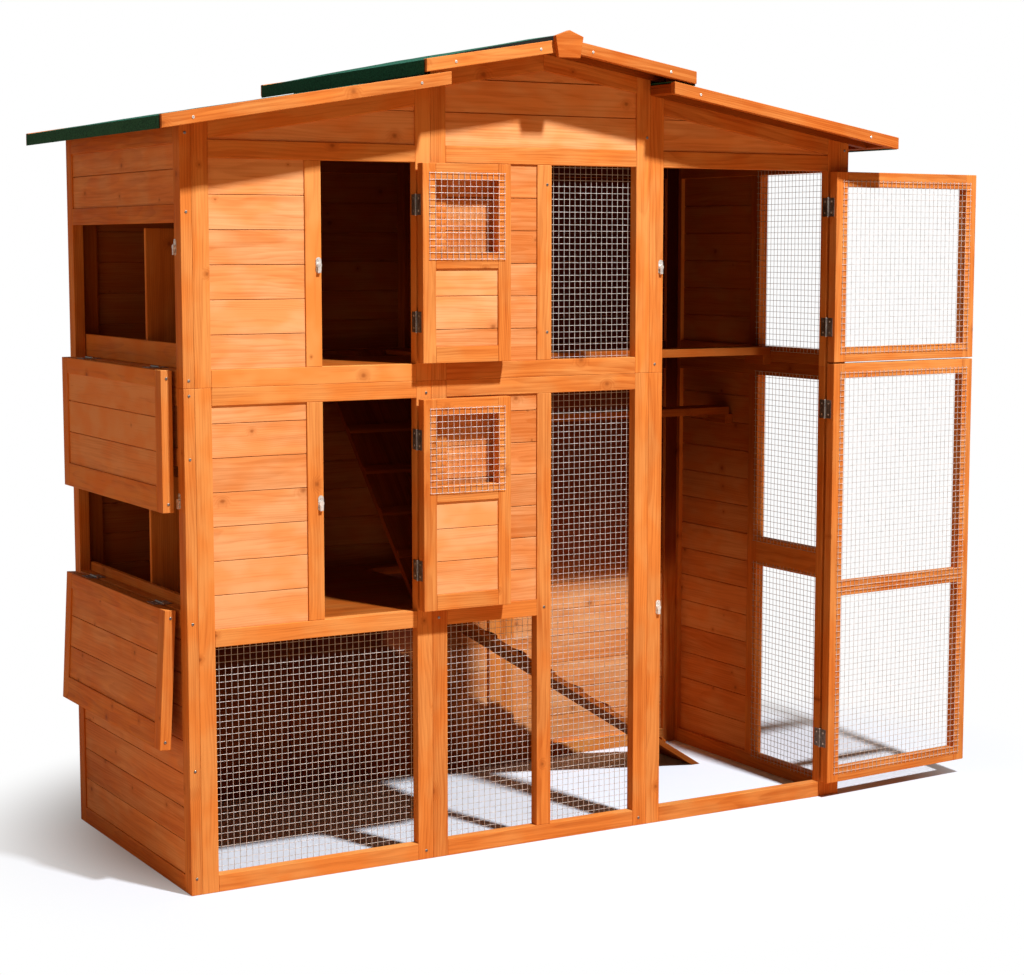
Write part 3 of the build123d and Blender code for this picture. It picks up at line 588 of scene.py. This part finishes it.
def weld_solids(piece):
    """Close up the loose triangles of each solid without joining it to its neighbours."""
    for number in range(face_solids(piece.data).max() + 1):
        edit_faces(piece, face_solids(piece.data) == number)
        bpy.ops.mesh.remove_doubles(threshold=WELD)
        leave_edit()
    edit_all(piece)
    bpy.ops.mesh.dissolve_limited(angle_limit=FLAT_ANGLE)
    leave_edit()


def stand_for(piece, node, material):
    """Finish a piece that takes the place of a CAD node."""
    piece.data.materials.clear()
    piece.data.materials.append(material)
    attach(piece, NODE_BODY[node])
    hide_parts(node)


# Timbers: eased edges, tongues between the boards, and a grain of their own

WOOD_SLOTS = ("stained_timber", "stained_boards", "inner_timber")
TIMBER_NODES = [node for node, slot in NODE_SLOT.items() if slot in WOOD_SLOTS]
BOARD_LIMITS = (0.015, 0.085)  # a board is thinner and lower than this
BOARD_GAP = 0.0016  # boards closer than this are tongued together
BOARD_LAP = 0.01  # and share at least this length
UPRIGHT = 0.5  # a face whose normal rises less than this stands up
SQUARE = 0.999  # a face whose normal has this share of a direction is square to it
SHARP_EDGE = math.radians(30)  # edges sharper than this are eased
INWARD = {"front": BACK, "back": -BACK, "left_side": RIGHT, "right_side": -RIGHT}  # from each wall


def timber_axes(points):
    """Directions of a timber's length, width and thickness; boards lie level."""
    spread = points - points.mean(axis=0)
    axes = np.linalg.eigh(spread.T @ spread)[1][:, ::-1]
    axes = axes * np.sign(axes[np.abs(axes).argmax(axis=0), range(3)])
    if is_board(points, axes):
        thin = axes[:, 2]
        width = np.array(UP) - thin * thin[2]
        width /= np.linalg.norm(width)
        axes = np.array((np.cross(width, thin), width, thin)).T
    return axes


def is_board(points, axes):
    """Whether a timber is one of the level boards of a wall, door or hatch."""
    thickness, height = np.ptp(points @ axes[:, 2]), np.ptp(points[:, 2])
    return thickness < BOARD_LIMITS[0] and height < BOARD_LIMITS[1] and abs(axes[2, 2]) < UPRIGHT


def board_joints(piece):
    """Numbers of the boards with a board above and below them, their axes and their middle plane."""
    points, owner = points_of(piece.data), vertex_solids(piece.data)
    spans = {}
    axes = None
    for number in range(owner.max() + 1):
        mine = points[owner == number]
        own = timber_axes(mine)
        if is_board(mine, own):
            axes = own if axes is None else axes
            spans[number] = ((mine @ axes).min(axis=0), (mine @ axes).max(axis=0))
    below, above = set(), set()
    for low, (low_min, low_max) in spans.items():
        for high, (high_min, high_max) in spans.items():
            overlap = min(low_max[0], high_max[0]) - max(low_min[0], high_min[0])
            if 0.0 < high_min[1] - low_max[1] < BOARD_GAP and overlap > BOARD_LAP:
                below.add(low)
                above.add(high)
    middle = np.mean([(low[2] + high[2]) / 2 for low, high in spans.values()]) if spans else 0.0
    return below, above, axes, middle


def tongue_boards(piece, sizes):
    """Run a tongue from each board into a groove of the one above it."""
    below, above, axes, middle = board_joints(piece)
    if not below:
        return
    width, thin = Vector(axes[:, 1]), Vector(axes[:, 2])
    for offset in (-sizes.tongue / 2, sizes.tongue / 2):
        edit_all(piece)
        bpy.ops.mesh.bisect(plane_co=thin * (middle + offset), plane_no=thin)
        leave_edit()
    for owners, way, reach in (
        (below, 1.0, BOARD_GAP / 2 + sizes.tongue_reach), (above, -1.0, sizes.tongue_reach + BOARD_GAP / 4)
    ):
        numbers = face_solids(piece.data)
        chosen = [
            number in owners and face.normal.dot(width) * way > SQUARE
            and abs(face.center.dot(thin) - middle) < sizes.tongue / 2
            for face, number in zip(piece.data.polygons, numbers)
        ]
        edit_faces(piece, chosen)
        bpy.ops.mesh.extrude_region_move(TRANSFORM_OT_translate={"value": width * reach})
        bpy.ops.mesh.select_all(action="SELECT")
        bpy.ops.mesh.dissolve_limited(angle_limit=FLAT_ANGLE)
        leave_edit()


NODE_TONES = {  # darker and redder pieces above 0, paler ones below
    "roof_fascias": 2.2, "ridge_end_block": 2.2,
    "front_right_frame": 0.8, "front_right_boards": 1.0,
    "front_left_frame": -1.5, "front_left_boards": -0.4,
    "left_side_frame": 0.3, "left_side_boards": 0.5, "nest_boxes": -1.2, "storey_ramp": 1.6,
    "upper_house_door_frame": 0.5, "lower_house_door_boards": -1.2,
    "upper_run_door_frame": 0.4, "lower_run_door_frame": 0.4,
    "upper_nest_hatch_frame": -1.4, "upper_nest_hatch_boards": -1.6,
    "lower_nest_hatch_frame": 0.5, "lower_nest_hatch_boards": 1.0,
}
LOW_TONES = {"front_centre_boards": 1.3}  # added to the boards below the gables
SIDE_TONES = {"roof_fascias": 1.3}  # added on the right, taken off on the left
GABLE_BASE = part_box("upper_house_door_frame")[1].z + 0.01
PITH_ALONG = 40.0  # a timber is cut from anywhere along a log this long
PITH_ASIDE = 0.06  # the pith lies at most this far to the side of a timber
PITH_DEPTH = (0.02, 0.09)  # and this far in front of it or behind it


def mark_grain(piece, node):
    """Give every timber its own run of grain and its own tone."""
    draw = random.Random(node)
    mesh = piece.data
    points, owner = points_of(mesh), vertex_solids(mesh)
    grain = np.zeros_like(points)
    tone = np.zeros(len(points))
    for number in range(owner.max() + 1):
        mine = owner == number
        local = (points[mine] - points[mine].mean(axis=0)) @ timber_axes(points[mine])
        along = draw.uniform(0, PITH_ALONG)
        aside = draw.uniform(-PITH_ASIDE, PITH_ASIDE)
        depth = draw.choice((-1, 1)) * draw.uniform(*PITH_DEPTH)
        grain[mine] = local + np.array((along, aside, depth))
        tone[mine] = draw.uniform(-1, 1) + NODE_TONES.get(node, 0.0)
        if points[mine][:, 2].max() < GABLE_BASE:
            tone[mine] += LOW_TONES.get(node, 0.0)
        tone[mine] += SIDE_TONES.get(node, 0.0) * np.sign(points[mine][:, 0].mean())
    grains = mesh.attributes.new("grain", "FLOAT_VECTOR", "POINT").data
    grains.foreach_set("vector", grain.ravel().astype(np.float32))
    tones = mesh.attributes.new("tone", "FLOAT", "POINT").data
    tones.foreach_set("value", tone.astype(np.float32))


def mark_inward_shade(piece, node):
    """Mark the faces of a wall's timbers that look into the coop with 1, and the back wall's with 2: the
    layers of painted shade they get.
    """
    inward = next((way for start, way in INWARD.items() if node.startswith(start)), None)
    shade_layers = 2.0 if node.startswith("back") else 1.0
    values = [
        shade_layers * (inward is not None and face.normal.dot(inward) > FACING) for face in piece.data.polygons
    ]
    piece.data.attributes.new("inner", "FLOAT", "FACE").data.foreach_set("value", values)


def dress_timber(node, material, sizes):
    """Copy a wooden CAD node, tongue its boards, ease its edges and give it grain."""
    piece = copy_node(node, f"{node}_timbers")
    weld_solids(piece)
    tongue_boards(piece, sizes)
    if node == "roof_fascias":
        edit_faces(piece, [face.normal.z > FACING for face in piece.data.polygons])
        bpy.ops.transform.translate(value=(0.0, 0.0, sizes.fascia_rise))
        leave_edit()
    apply_modifier(
        piece, "BEVEL", width=sizes.arris, segments=2, limit_method="ANGLE", angle_limit=SHARP_EDGE
    )
    edit_all(piece)
    bpy.ops.mesh.dissolve_degenerate(threshold=WELD)
    leave_edit()
    mark_grain(piece, node)
    mark_inward_shade(piece, node)
    stand_for(piece, node, material)


BOARD_TONES = 0.24  # how far the boards differ in tone
GRAIN_DEPTH = 0.0005
OUTER_FINISH = (0.25, 0.07)  # strength of the bump and of the gloss
INNER_FINISH = (0.3, 0.04)


class COOP_OT_timbers(bpy.types.Operator):
    """Ease the edges of every timber and board and give each its own grain"""

    bl_idname = "coop.timbers"
    bl_label = "Timbers and boards"

    def execute(self, context):
        sizes, colours = context.scene.coop_sizes, context.scene.coop_colours
        group = fir_grain_and_shade_group()
        looks = {}
        for key, name, light, dark, (bump, gloss) in (
            ("stained_timber", "stained_fir", colours.stain, colours.stain_dark, OUTER_FINISH),
            ("stained_boards", "stained_fir_boards", colours.board, colours.board_dark, OUTER_FINISH),
            ("nest_boxes", "stained_fir_nests", colours.stain, colours.stain_dark, INNER_FINISH),
            # The timbers inside take the darker inside colours: stain with painted shade
            ("inner_timber", "stained_fir_inside_painted_shade", colours.inside, colours.inside_dark, INNER_FINISH),
        ):
            inputs = {"Light": rgba(light), "Dark": rgba(dark), "Knot": rgba(colours.knot)}
            if key == "stained_boards":
                inputs["Tone strength"] = BOARD_TONES
            looks[key] = new_material(name, group, inputs, bump, GRAIN_DEPTH, {"Specular IOR Level": gloss})
        for node in TIMBER_NODES:
            dress_timber(node, looks.get(node, looks[NODE_SLOT[node]]), sizes)
        return {"FINISHED"}


# Welded nets at their real pitch

NET_NODES = [node for node, slot in NODE_SLOT.items() if slot == "galvanised_wire"]
NET_INWARD = {"right_side_mesh": -RIGHT}
NET_BOWS = 0.11  # size of the bows in a net
WIRE_SIDES = 6
CROSSING = 0.9  # distance of crossing wires in diameters, pressed together by the weld


def wire_row(length, count, sizes):
    """Row of straight wires along Z, side by side along X about the origin."""
    steps = max(1, round(length / sizes.wire_step))
    bpy.ops.mesh.primitive_circle_add(
        vertices=WIRE_SIDES, radius=sizes.wire / 2, fill_type="NGON", location=(0.0, 0.0, -length / 2)
    )
    row = bpy.context.active_object
    bpy.ops.object.mode_set(mode="EDIT")
    bpy.ops.mesh.select_all(action="SELECT")
    for _ in range(steps):
        bpy.ops.mesh.extrude_region_move(TRANSFORM_OT_translate={"value": (0.0, 0.0, length / steps)})
    bpy.ops.mesh.select_all(action="SELECT")
    bpy.ops.mesh.normals_make_consistent(inside=False)
    leave_edit()
    apply_modifier(
        row, "ARRAY", count=count, use_relative_offset=False, use_constant_offset=True,
        constant_offset_displace=(sizes.pitch, 0.0, 0.0),
    )
    centred = Matrix.Translation((-sizes.pitch * (count - 1) / 2, 0.0, 0.0))
    return settle(row, "wires", centred @ row.matrix_world)


def net_place(points):
    """Direction, width, height and middle of a net from the corners of its solid."""
    flat = points[:, :2]
    far = flat[np.argmax(((flat - flat[0]) ** 2).sum(axis=1))]
    side = Vector((*(far - flat[0]), 0.0))
    width = math.dist(far, flat[0])
    side.normalize()
    middle = Vector(points.min(axis=0) + points.max(axis=0)) / 2
    return side, width, points[:, 2].max() - points[:, 2].min(), middle


def welded_net(name, points, inward, lap, sizes):
    """Upright wires on the frame with cross wires welded behind them."""
    side, width, height, middle = net_place(points)
    width, height = width + 2 * lap, height + 2 * lap
    normal = UP.cross(side)
    if normal.dot(inward) < 0:
        side, normal = -side, -normal
    columns = math.floor(width / sizes.pitch) + 1
    rows = math.floor(height / sizes.pitch) + 1
    uprights = wire_row(height, columns, sizes)
    bars = wire_row(width, rows, sizes)
    behind = Matrix.Translation((0.0, sizes.wire * CROSSING, 0.0))
    settle(bars, "bars", behind @ Matrix.Rotation(math.pi / 2, 4, "Y"))
    net = join([uprights, bars])
    bow = bpy.data.textures.new(f"{name}_bow", "CLOUDS")
    bow.noise_scale = NET_BOWS
    for direction, strength, level in (("Y", sizes.wire_sway, 0.0), ("X", sizes.wire_sway / 2, 0.5)):
        apply_modifier(net, "DISPLACE", texture=bow, direction=direction, strength=strength, mid_level=level,
                       texture_coords="LOCAL")
    turn = Matrix((side, normal, UP)).transposed().to_4x4()
    return settle(net, name, Matrix.Translation(middle) @ turn)


class COOP_OT_nets(bpy.types.Operator):
    """Weld the wire nets at their real pitch"""

    bl_idname = "coop.nets"
    bl_label = "Wire nets"

    def execute(self, context):
        sizes, colours = context.scene.coop_sizes, context.scene.coop_colours
        galvanised = new_metal("galvanised_wire", metal_wear_group(), colours.wire)
        for node in NET_NODES:
            on_door = "door" in node
            inward = NET_INWARD.get(node, -BACK if on_door else BACK)
            lap = sizes.door_lap if on_door else 0.0
            name = f"{node}_wires"
            net = join([welded_net(name, points, inward, lap, sizes) for points in solid_points(node)])
            net.name = name
            stand_for(net, node, galvanised)
        return {"FINISHED"}


# Roofing felt: rumpled sheets

FELT_CUT = 0.06  # about the sides of the squares into which the sheets are cut
FELT_BULGES = 0.22  # size of the bulges
FELT_HELD = 0.004  # the felt is held this close to its eave
FELT_EASE = 0.08  # and comes loose over this length
EDGE_AREA = 0.01  # the lower edges of the flaps are smaller than this
RIDGE_FELT = "upper_roof_felt"
RIDGE_LAP_REACH = 0.34  # the lap thins out this far from the ridge
FELT_BUMP = 0.6
FELT_DEPTH = 0.0012
FELT_GLOSS = 0.12


def felt_sheets(node, sizes):
    """Copy the felt of two slopes, end it behind the fascias' faces and let it bulge off the deck."""
    piece = copy_node(node, f"{node}_sheets")
    weld_solids(piece)
    for way in (-1.0, 1.0):
        edit_faces(piece, [face.normal.y * way > FACING for face in piece.data.polygons])
        bpy.ops.transform.translate(value=(0.0, -way * sizes.felt_set_back, 0.0))
        leave_edit()
    edit_faces(piece, [face.normal.z < -FACING and face.area < EDGE_AREA for face in piece.data.polygons])
    bpy.ops.transform.translate(value=(0.0, 0.0, -sizes.flap_drop))
    leave_edit()
    points = points_of(piece.data)
    low, high = points.min(axis=0), points.max(axis=0)
    for axis, normal in enumerate((RIGHT, BACK)):
        start, end = low[axis], high[axis]
        cuts = round((end - start) / FELT_CUT)
        for cut in range(1, cuts):
            edit_all(piece)
            bpy.ops.mesh.bisect(plane_co=normal * (start + (end - start) * cut / cuts), plane_no=normal)
            leave_edit()
    loose = piece.vertex_groups.new(name="loose")
    for vertex in piece.data.vertices:
        share = (high[0] - FELT_HELD - abs(vertex.co.x)) / FELT_EASE
        loose.add([vertex.index], min(1.0, max(0.0, share)), "REPLACE")
    bulge = bpy.data.textures.new(f"{node}_bulge", "CLOUDS")
    bulge.noise_scale = FELT_BULGES
    apply_modifier(piece, "DISPLACE", texture=bulge, direction="Z", strength=sizes.felt_lift, mid_level=0.0,
                   texture_coords="LOCAL", vertex_group="loose")
    if node == RIDGE_FELT:
        lap = piece.vertex_groups.new(name="lap")
        for face in piece.data.polygons:
            if face.normal.z > UPRIGHT and face.center.x < 0.0:
                for corner in face.vertices:
                    share = 1.0 + piece.data.vertices[corner].co.x / RIDGE_LAP_REACH
                    lap.add([corner], max(0.0, share), "REPLACE")
        apply_modifier(
            piece, "DISPLACE", direction="Z", strength=sizes.ridge_lap, mid_level=0.0, vertex_group="lap"
        )
    return piece


class COOP_OT_felt(bpy.types.Operator):
    """Lay the roofing felt in rumpled sheets"""

    bl_idname = "coop.felt"
    bl_label = "Roofing felt"

    def execute(self, context):
        sizes, colours = context.scene.coop_sizes, context.scene.coop_colours
        group, inputs = felt_granule_group(), {"Base": rgba(colours.felt)}
        gloss = {"Specular IOR Level": FELT_GLOSS}
        felt = new_material("green_mineral_felt", group, inputs, FELT_BUMP, FELT_DEPTH, gloss)
        for node, slot in NODE_SLOT.items():
            if slot == "green_felt":
                stand_for(felt_sheets(node, sizes), node, felt)
        return {"FINISHED"}


# Hinges, pins and buttons keep their solids; screws are modelled once and copied

SCREW_SIDES = 12
SCREW_RIM = 0.5  # height of the rim as a share of the head's height
SCREW_STEPS = ((0.22, 0.4), (0.30, 0.1), (0.05, -0.6))  # insets and rises, shares of radius and height
LEAF_SCREW_SHIFT = 0.015  # of a leaf's two screws from its middle
PLATE_AREA = 1e-4  # the flat faces of a leaf are larger than this


def model_screw(radius, height):
    """Low domed head with a recess, standing on Z = 0."""
    bpy.ops.mesh.primitive_circle_add(vertices=SCREW_SIDES, radius=radius, fill_type="NGON")
    screw = bpy.context.active_object
    bpy.context.tool_settings.mesh_select_mode = (False, False, True)
    bpy.ops.object.mode_set(mode="EDIT")
    bpy.ops.mesh.select_all(action="SELECT")
    bpy.ops.mesh.extrude_region_move(TRANSFORM_OT_translate={"value": (0.0, 0.0, height * SCREW_RIM)})
    for inset, rise in SCREW_STEPS:
        bpy.ops.mesh.inset(thickness=radius * inset)
        bpy.ops.transform.translate(value=(0.0, 0.0, height * rise))
    bpy.ops.mesh.select_all(action="SELECT")
    bpy.ops.mesh.normals_make_consistent(inside=False)
    leave_edit()
    screw.name = "screw"
    return screw


def place_screw(screw, place, normal, draw):
    """A copy of the screw with its head on a face."""
    select_only(screw)
    bpy.ops.object.duplicate()
    copy = bpy.context.view_layer.objects.active
    turn = normal.to_track_quat("Z", "Y").to_matrix().to_4x4()
    spin = Matrix.Rotation(draw.uniform(0, math.tau), 4, "Z")
    return settle(copy, "screw_copy", Matrix.Translation(place) @ turn @ spin)


def leaf_screw_places(node):
    """Two places with their normals on the open face of each hinge leaf of a node."""
    pins = [points.mean(axis=0) for points in solid_points("hinge_pins")]
    mesh = frame["nodes"][node].data
    points = points_of(mesh)
    places = []
    for faces in solid_faces(mesh):
        centre = corners_of(faces, points).mean(axis=0)
        pin = Vector(min(pins, key=lambda each: np.linalg.norm(each - centre)))
        plate = max(faces, key=lambda face: face.area).normal.copy()
        flat = [face for face in faces if abs(face.normal.dot(plate)) > SQUARE and face.area > PLATE_AREA]
        near = min(flat, key=lambda face: abs((pin - face.center).dot(plate)))
        side = [face for face in flat if abs((face.center - near.center).dot(plate)) < WELD]
        corners = corners_of(side, points)
        middle = Vector((corners.min(axis=0) + corners.max(axis=0)) / 2)
        normal = plate if (pin - middle).dot(plate) > 0 else -plate
        along = UP if abs(plate.z) < UPRIGHT else BACK
        places += [(middle + along * shift, normal) for shift in (-LEAF_SCREW_SHIFT, LEAF_SCREW_SHIFT)]
    return places


CORNER_POST = 0.954  # X of the middle of the corner posts
POST_SCREWS = (1.790, 1.610, 1.222, 1.187, 1.039, 0.652, 0.300, 0.040)
FRAME_SCREWS = (  # X and Z of the screws in the front frames
    *((side * CORNER_POST, z) for side in (-1, 1) for z in POST_SCREWS),
    (0.011, 1.685), (0.011, 1.316), (0.310, 1.809), (-0.335, 1.174), (0.338, 1.226),
    (-0.302, 0.612), (0.003, 0.613), (-0.340, 0.022), (0.297, 0.020),
)
FASCIA_SCREWS = (-0.976, -0.400, -0.308, -0.073, 0.076, 0.308, 0.400, 0.955)
UPPER_FASCIA = (0.0, 0.387)  # distances of the fascias' ends from the ridge
LOWER_FASCIA = (0.320, 1.051)
FASCIA_SLACK = 0.001
HATCH_SCREW_INSET = 0.02
HATCH_THICKNESS = 0.028


def fascia_middle(x):
    """Height of the middle of the front fascia at X."""
    corners = frame["nodes"]["roof_fascias"].data.vertices
    front = [(abs(corner.co.x), round(corner.co.z, 4)) for corner in corners if corner.co.y < 0.0]
    near, far = UPPER_FASCIA if abs(x) < UPPER_FASCIA[1] else LOWER_FASCIA
    levels = [[z for end, z in front if abs(end - side) < FASCIA_SLACK] for side in (near, far)]
    start, stop = ((min(level) + max(level)) / 2 for level in levels)
    return start + (stop - start) * (abs(x) - near) / (far - near)


class COOP_OT_hardware(bpy.types.Operator):
    """Finish the hinges, pins and turn buttons and drive the screws"""

    bl_idname = "coop.hardware"
    bl_label = "Hinges, buttons and screws"

    def execute(self, context):
        sizes, colours = context.scene.coop_sizes, context.scene.coop_colours
        wear = bpy.data.node_groups["Metal wear"]
        looks = {
            "hinge_steel": new_metal("blackened_steel", wear, colours.hinge),
            "zinc": new_metal("bright_zinc", wear, colours.zinc),
        }
        for node, slot in NODE_SLOT.items():
            if slot in looks:
                materials = frame["nodes"][node].data.materials
                materials.clear()
                materials.append(looks[slot])
        draw = random.Random("screws")
        small = model_screw(sizes.leaf_screw_radius, sizes.leaf_screw_height)
        large = model_screw(sizes.screw_radius, sizes.screw_height)
        wanted = []
        for node in NODE_SLOT:
            if node.endswith("_leaves"):
                leaf = leaf_screw_places(node)
                wanted += [(NODE_BODY[node], "zinc", small, place, normal) for place, normal in leaf]
        fascia_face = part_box("roof_fascias")[0].y
        places = [("coop", "hinge_steel", (x, FRONT_FACE, z)) for x, z in FRAME_SCREWS]
        places += [("coop", "zinc", (x, fascia_face, fascia_middle(x))) for x in FASCIA_SCREWS]
        for hatch in ("upper_nest_hatch", "lower_nest_hatch"):
            low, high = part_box(f"{hatch}_frame")
            middle = (low.x + high.x) / 2
            lean = (high.x - low.x - HATCH_THICKNESS) / 2
            places.append((hatch, "hinge_steel", (middle + lean, low.y, high.z - HATCH_SCREW_INSET)))
            places.append((hatch, "hinge_steel", (middle - lean, low.y, low.z + HATCH_SCREW_INSET)))
        wanted += [(body, slot, large, place, -BACK) for body, slot, place in places]
        bodies = {}
        for body, slot, screw, place, normal in wanted:
            bodies.setdefault((body, slot), []).append(place_screw(screw, place, normal, draw))
        select_only(small, large)
        bpy.ops.object.delete()
        for (body, slot), screws in bodies.items():
            piece = join(screws)
            piece.name = f"{body}_{slot}_screws"
            piece.data.materials.append(looks[slot])
            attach(piece, body)
        return {"FINISHED"}


# Floor, lights and camera

CAMERA_PLACE = (-2.7888, -4.6862, 1.5315)
CAMERA_TURN = (math.radians(83.60), 0.0, math.radians(-30.03))
LENS = 75.58  # millimetres
SENSOR = 36.0  # millimetres across
CAMERA_SHIFT = -0.0012  # of the picture's width
KEY_DIRECTION = Vector((0.1135, -0.5431, 0.8320))  # towards the key light, high in front
KEY_TARGET = Vector((0.1, 0.3, 0.9))
KEY_PLACE = KEY_TARGET + KEY_DIRECTION * 8.0
LAMPS = (  # name, place, target, size, power and colour
    ("key", KEY_PLACE, KEY_TARGET, 0.4, 1100.0, (1.0, 0.97, 0.93)),
    ("fill", Vector((-6.2, -0.9, 2.6)), Vector((-0.9, 0.4, 1.0)), 3.0, 39.0, (1.0, 0.60, 0.32)),
)
FLOOR_SIZE = 40.0
FLOOR_PLACE = (0.0, 0.4, 0.0)
UNDER_COOP = ((0.98, 0.92), (0.40, 0.35))  # distances along X and Y at which the inside sets in
SHADOW_MIDDLE = (0.25, 0.0, 0.0)
SHADOW_SHAPE = (0.8, 1.0, 0.0)  # the shadow is longer along X
SHADOW_FADE = (0.85, 1.4)  # distances between which the shadow fades to white
MIRRORED_SHARE = 0.3  # how much of the white background shows in reflections


def seen_rays(graph):
    """Mask of the rays that show the background, straight to the camera or in a reflection."""
    rays = graph.add("ShaderNodeLightPath").outputs
    mirrored = graph.times(rays["Is Glossy Ray"], MIRRORED_SHARE)
    return graph.math("MAXIMUM", rays["Is Camera Ray"], mirrored)


def floor_material(colours):
    """Pale floor that keeps the shadow near the coop, fades to white and throws back a warm light."""
    material = bpy.data.materials.new("pale_floor")
    material.use_nodes = True
    graph = Graph(material.node_tree)
    nodes = material.node_tree.nodes
    principled, output = nodes["Principled BSDF"], nodes["Material Output"]
    place = graph.add("ShaderNodeTexCoord").outputs["Object"]
    seen = seen_rays(graph)
    speck = graph.times(graph.noise(place, 60.0, 3.0), 0.04)
    tint = graph.mix(speck, rgba(colours.floor), (0.5, 0.5, 0.5, 1.0))
    aside = graph.add("ShaderNodeSeparateXYZ", {"Vector": graph.vector("ABSOLUTE", place)}).outputs
    along, deep = (graph.ramp(aside[axis], *edge) for axis, edge in enumerate(UNDER_COOP))
    under = graph.times(along, deep)
    bounce = graph.mix(under, rgba(colours.bounce), rgba(colours.bounce_inside))
    graph.put(principled.inputs["Base Color"], graph.mix(seen, bounce, tint))
    principled.inputs["Roughness"].default_value = 0.9
    principled.inputs["Specular IOR Level"].default_value = 0.0
    offset = graph.vector("SUBTRACT", place, SHADOW_MIDDLE)
    away = graph.vector("LENGTH", graph.vector("MULTIPLY", offset, SHADOW_SHAPE))
    white = graph.add("ShaderNodeEmission", {"Strength": 1.0, "Color": WHITE})
    share = graph.times(graph.ramp(away, *SHADOW_FADE), seen)
    blend = graph.add("ShaderNodeMixShader", {0: share, 1: principled.outputs[0], 2: white.outputs[0]})
    graph.put(output.inputs["Surface"], blend.outputs[0])
    return material


def sky_world(colours):
    """World that is white to the camera and a soft warm light to the coop."""
    world = bpy.data.worlds.new("soft_studio")
    world.use_nodes = True
    graph = Graph(world.node_tree)
    background = world.node_tree.nodes["Background"]
    background.inputs["Strength"].default_value = 1.0
    seen = seen_rays(graph)
    graph.put(background.inputs["Color"], graph.mix(seen, rgba(colours.sky), WHITE))
    return world


class COOP_OT_stage(bpy.types.Operator):
    """Set the pale floor, the soft lights and the camera"""

    bl_idname = "coop.stage"
    bl_label = "Floor, lights and camera"

    def execute(self, context):
        scene = context.scene
        bpy.ops.mesh.primitive_plane_add(size=FLOOR_SIZE, location=FLOOR_PLACE)
        floor = bpy.context.active_object
        floor.name = "floor"
        floor.data.materials.append(floor_material(scene.coop_colours))
        scene.world = sky_world(scene.coop_colours)
        for name, place, target, size, power, colour in LAMPS:
            bpy.ops.object.light_add(type="AREA", location=place)
            lamp = bpy.context.active_object
            lamp.name = name
            lamp.data.size = size
            lamp.data.energy = power
            lamp.data.color = colour
            lamp.rotation_euler = (target - place).to_track_quat("-Z", "Y").to_euler()
        bpy.ops.object.camera_add(location=CAMERA_PLACE, rotation=CAMERA_TURN)
        camera = bpy.context.active_object
        camera.data.lens = LENS
        camera.data.sensor_width = SENSOR
        camera.data.shift_x = CAMERA_SHIFT
        camera.data.clip_end = 100.0
        scene.camera = camera
        scene.view_settings.view_transform = "Standard"
        return {"FINISHED"}


class COOP_PT_panel(bpy.types.Panel):
    """Lists the steps that dress the coop"""

    bl_label = "Chicken coop with run"
    bl_idname = "COOP_PT_panel"
    bl_space_type = "VIEW_3D"
    bl_region_type = "UI"
    bl_category = "Coop"

    def draw(self, context):
        for step in STEPS:
            self.layout.operator(step.bl_idname)
        for group in (context.scene.coop_sizes, context.scene.coop_colours):
            for name in group.__annotations__:
                self.layout.prop(group, name)


STEPS = (COOP_OT_timbers, COOP_OT_nets, COOP_OT_felt, COOP_OT_hardware, COOP_OT_stage)
CLASSES = (CoopSizes, CoopColours, *STEPS, COOP_PT_panel)


def register():
    """Make the classes known and give each scene its sizes and colours."""
    for each in CLASSES:
        bpy.utils.register_class(each)
    bpy.types.Scene.coop_sizes = PointerProperty(type=CoopSizes)
    bpy.types.Scene.coop_colours = PointerProperty(type=CoopColours)


def unregister():
    """Take the classes and the scene's properties away again."""
    del bpy.types.Scene.coop_colours
    del bpy.types.Scene.coop_sizes
    for each in reversed(CLASSES):
        bpy.utils.unregister_class(each)


def main():
    """Dress the whole coop."""
    register()
    bpy.ops.coop.timbers()
    bpy.ops.coop.nets()
    bpy.ops.coop.felt()
    bpy.ops.coop.hardware()
    bpy.ops.coop.stage()


if __name__ == "__main__":
    main()
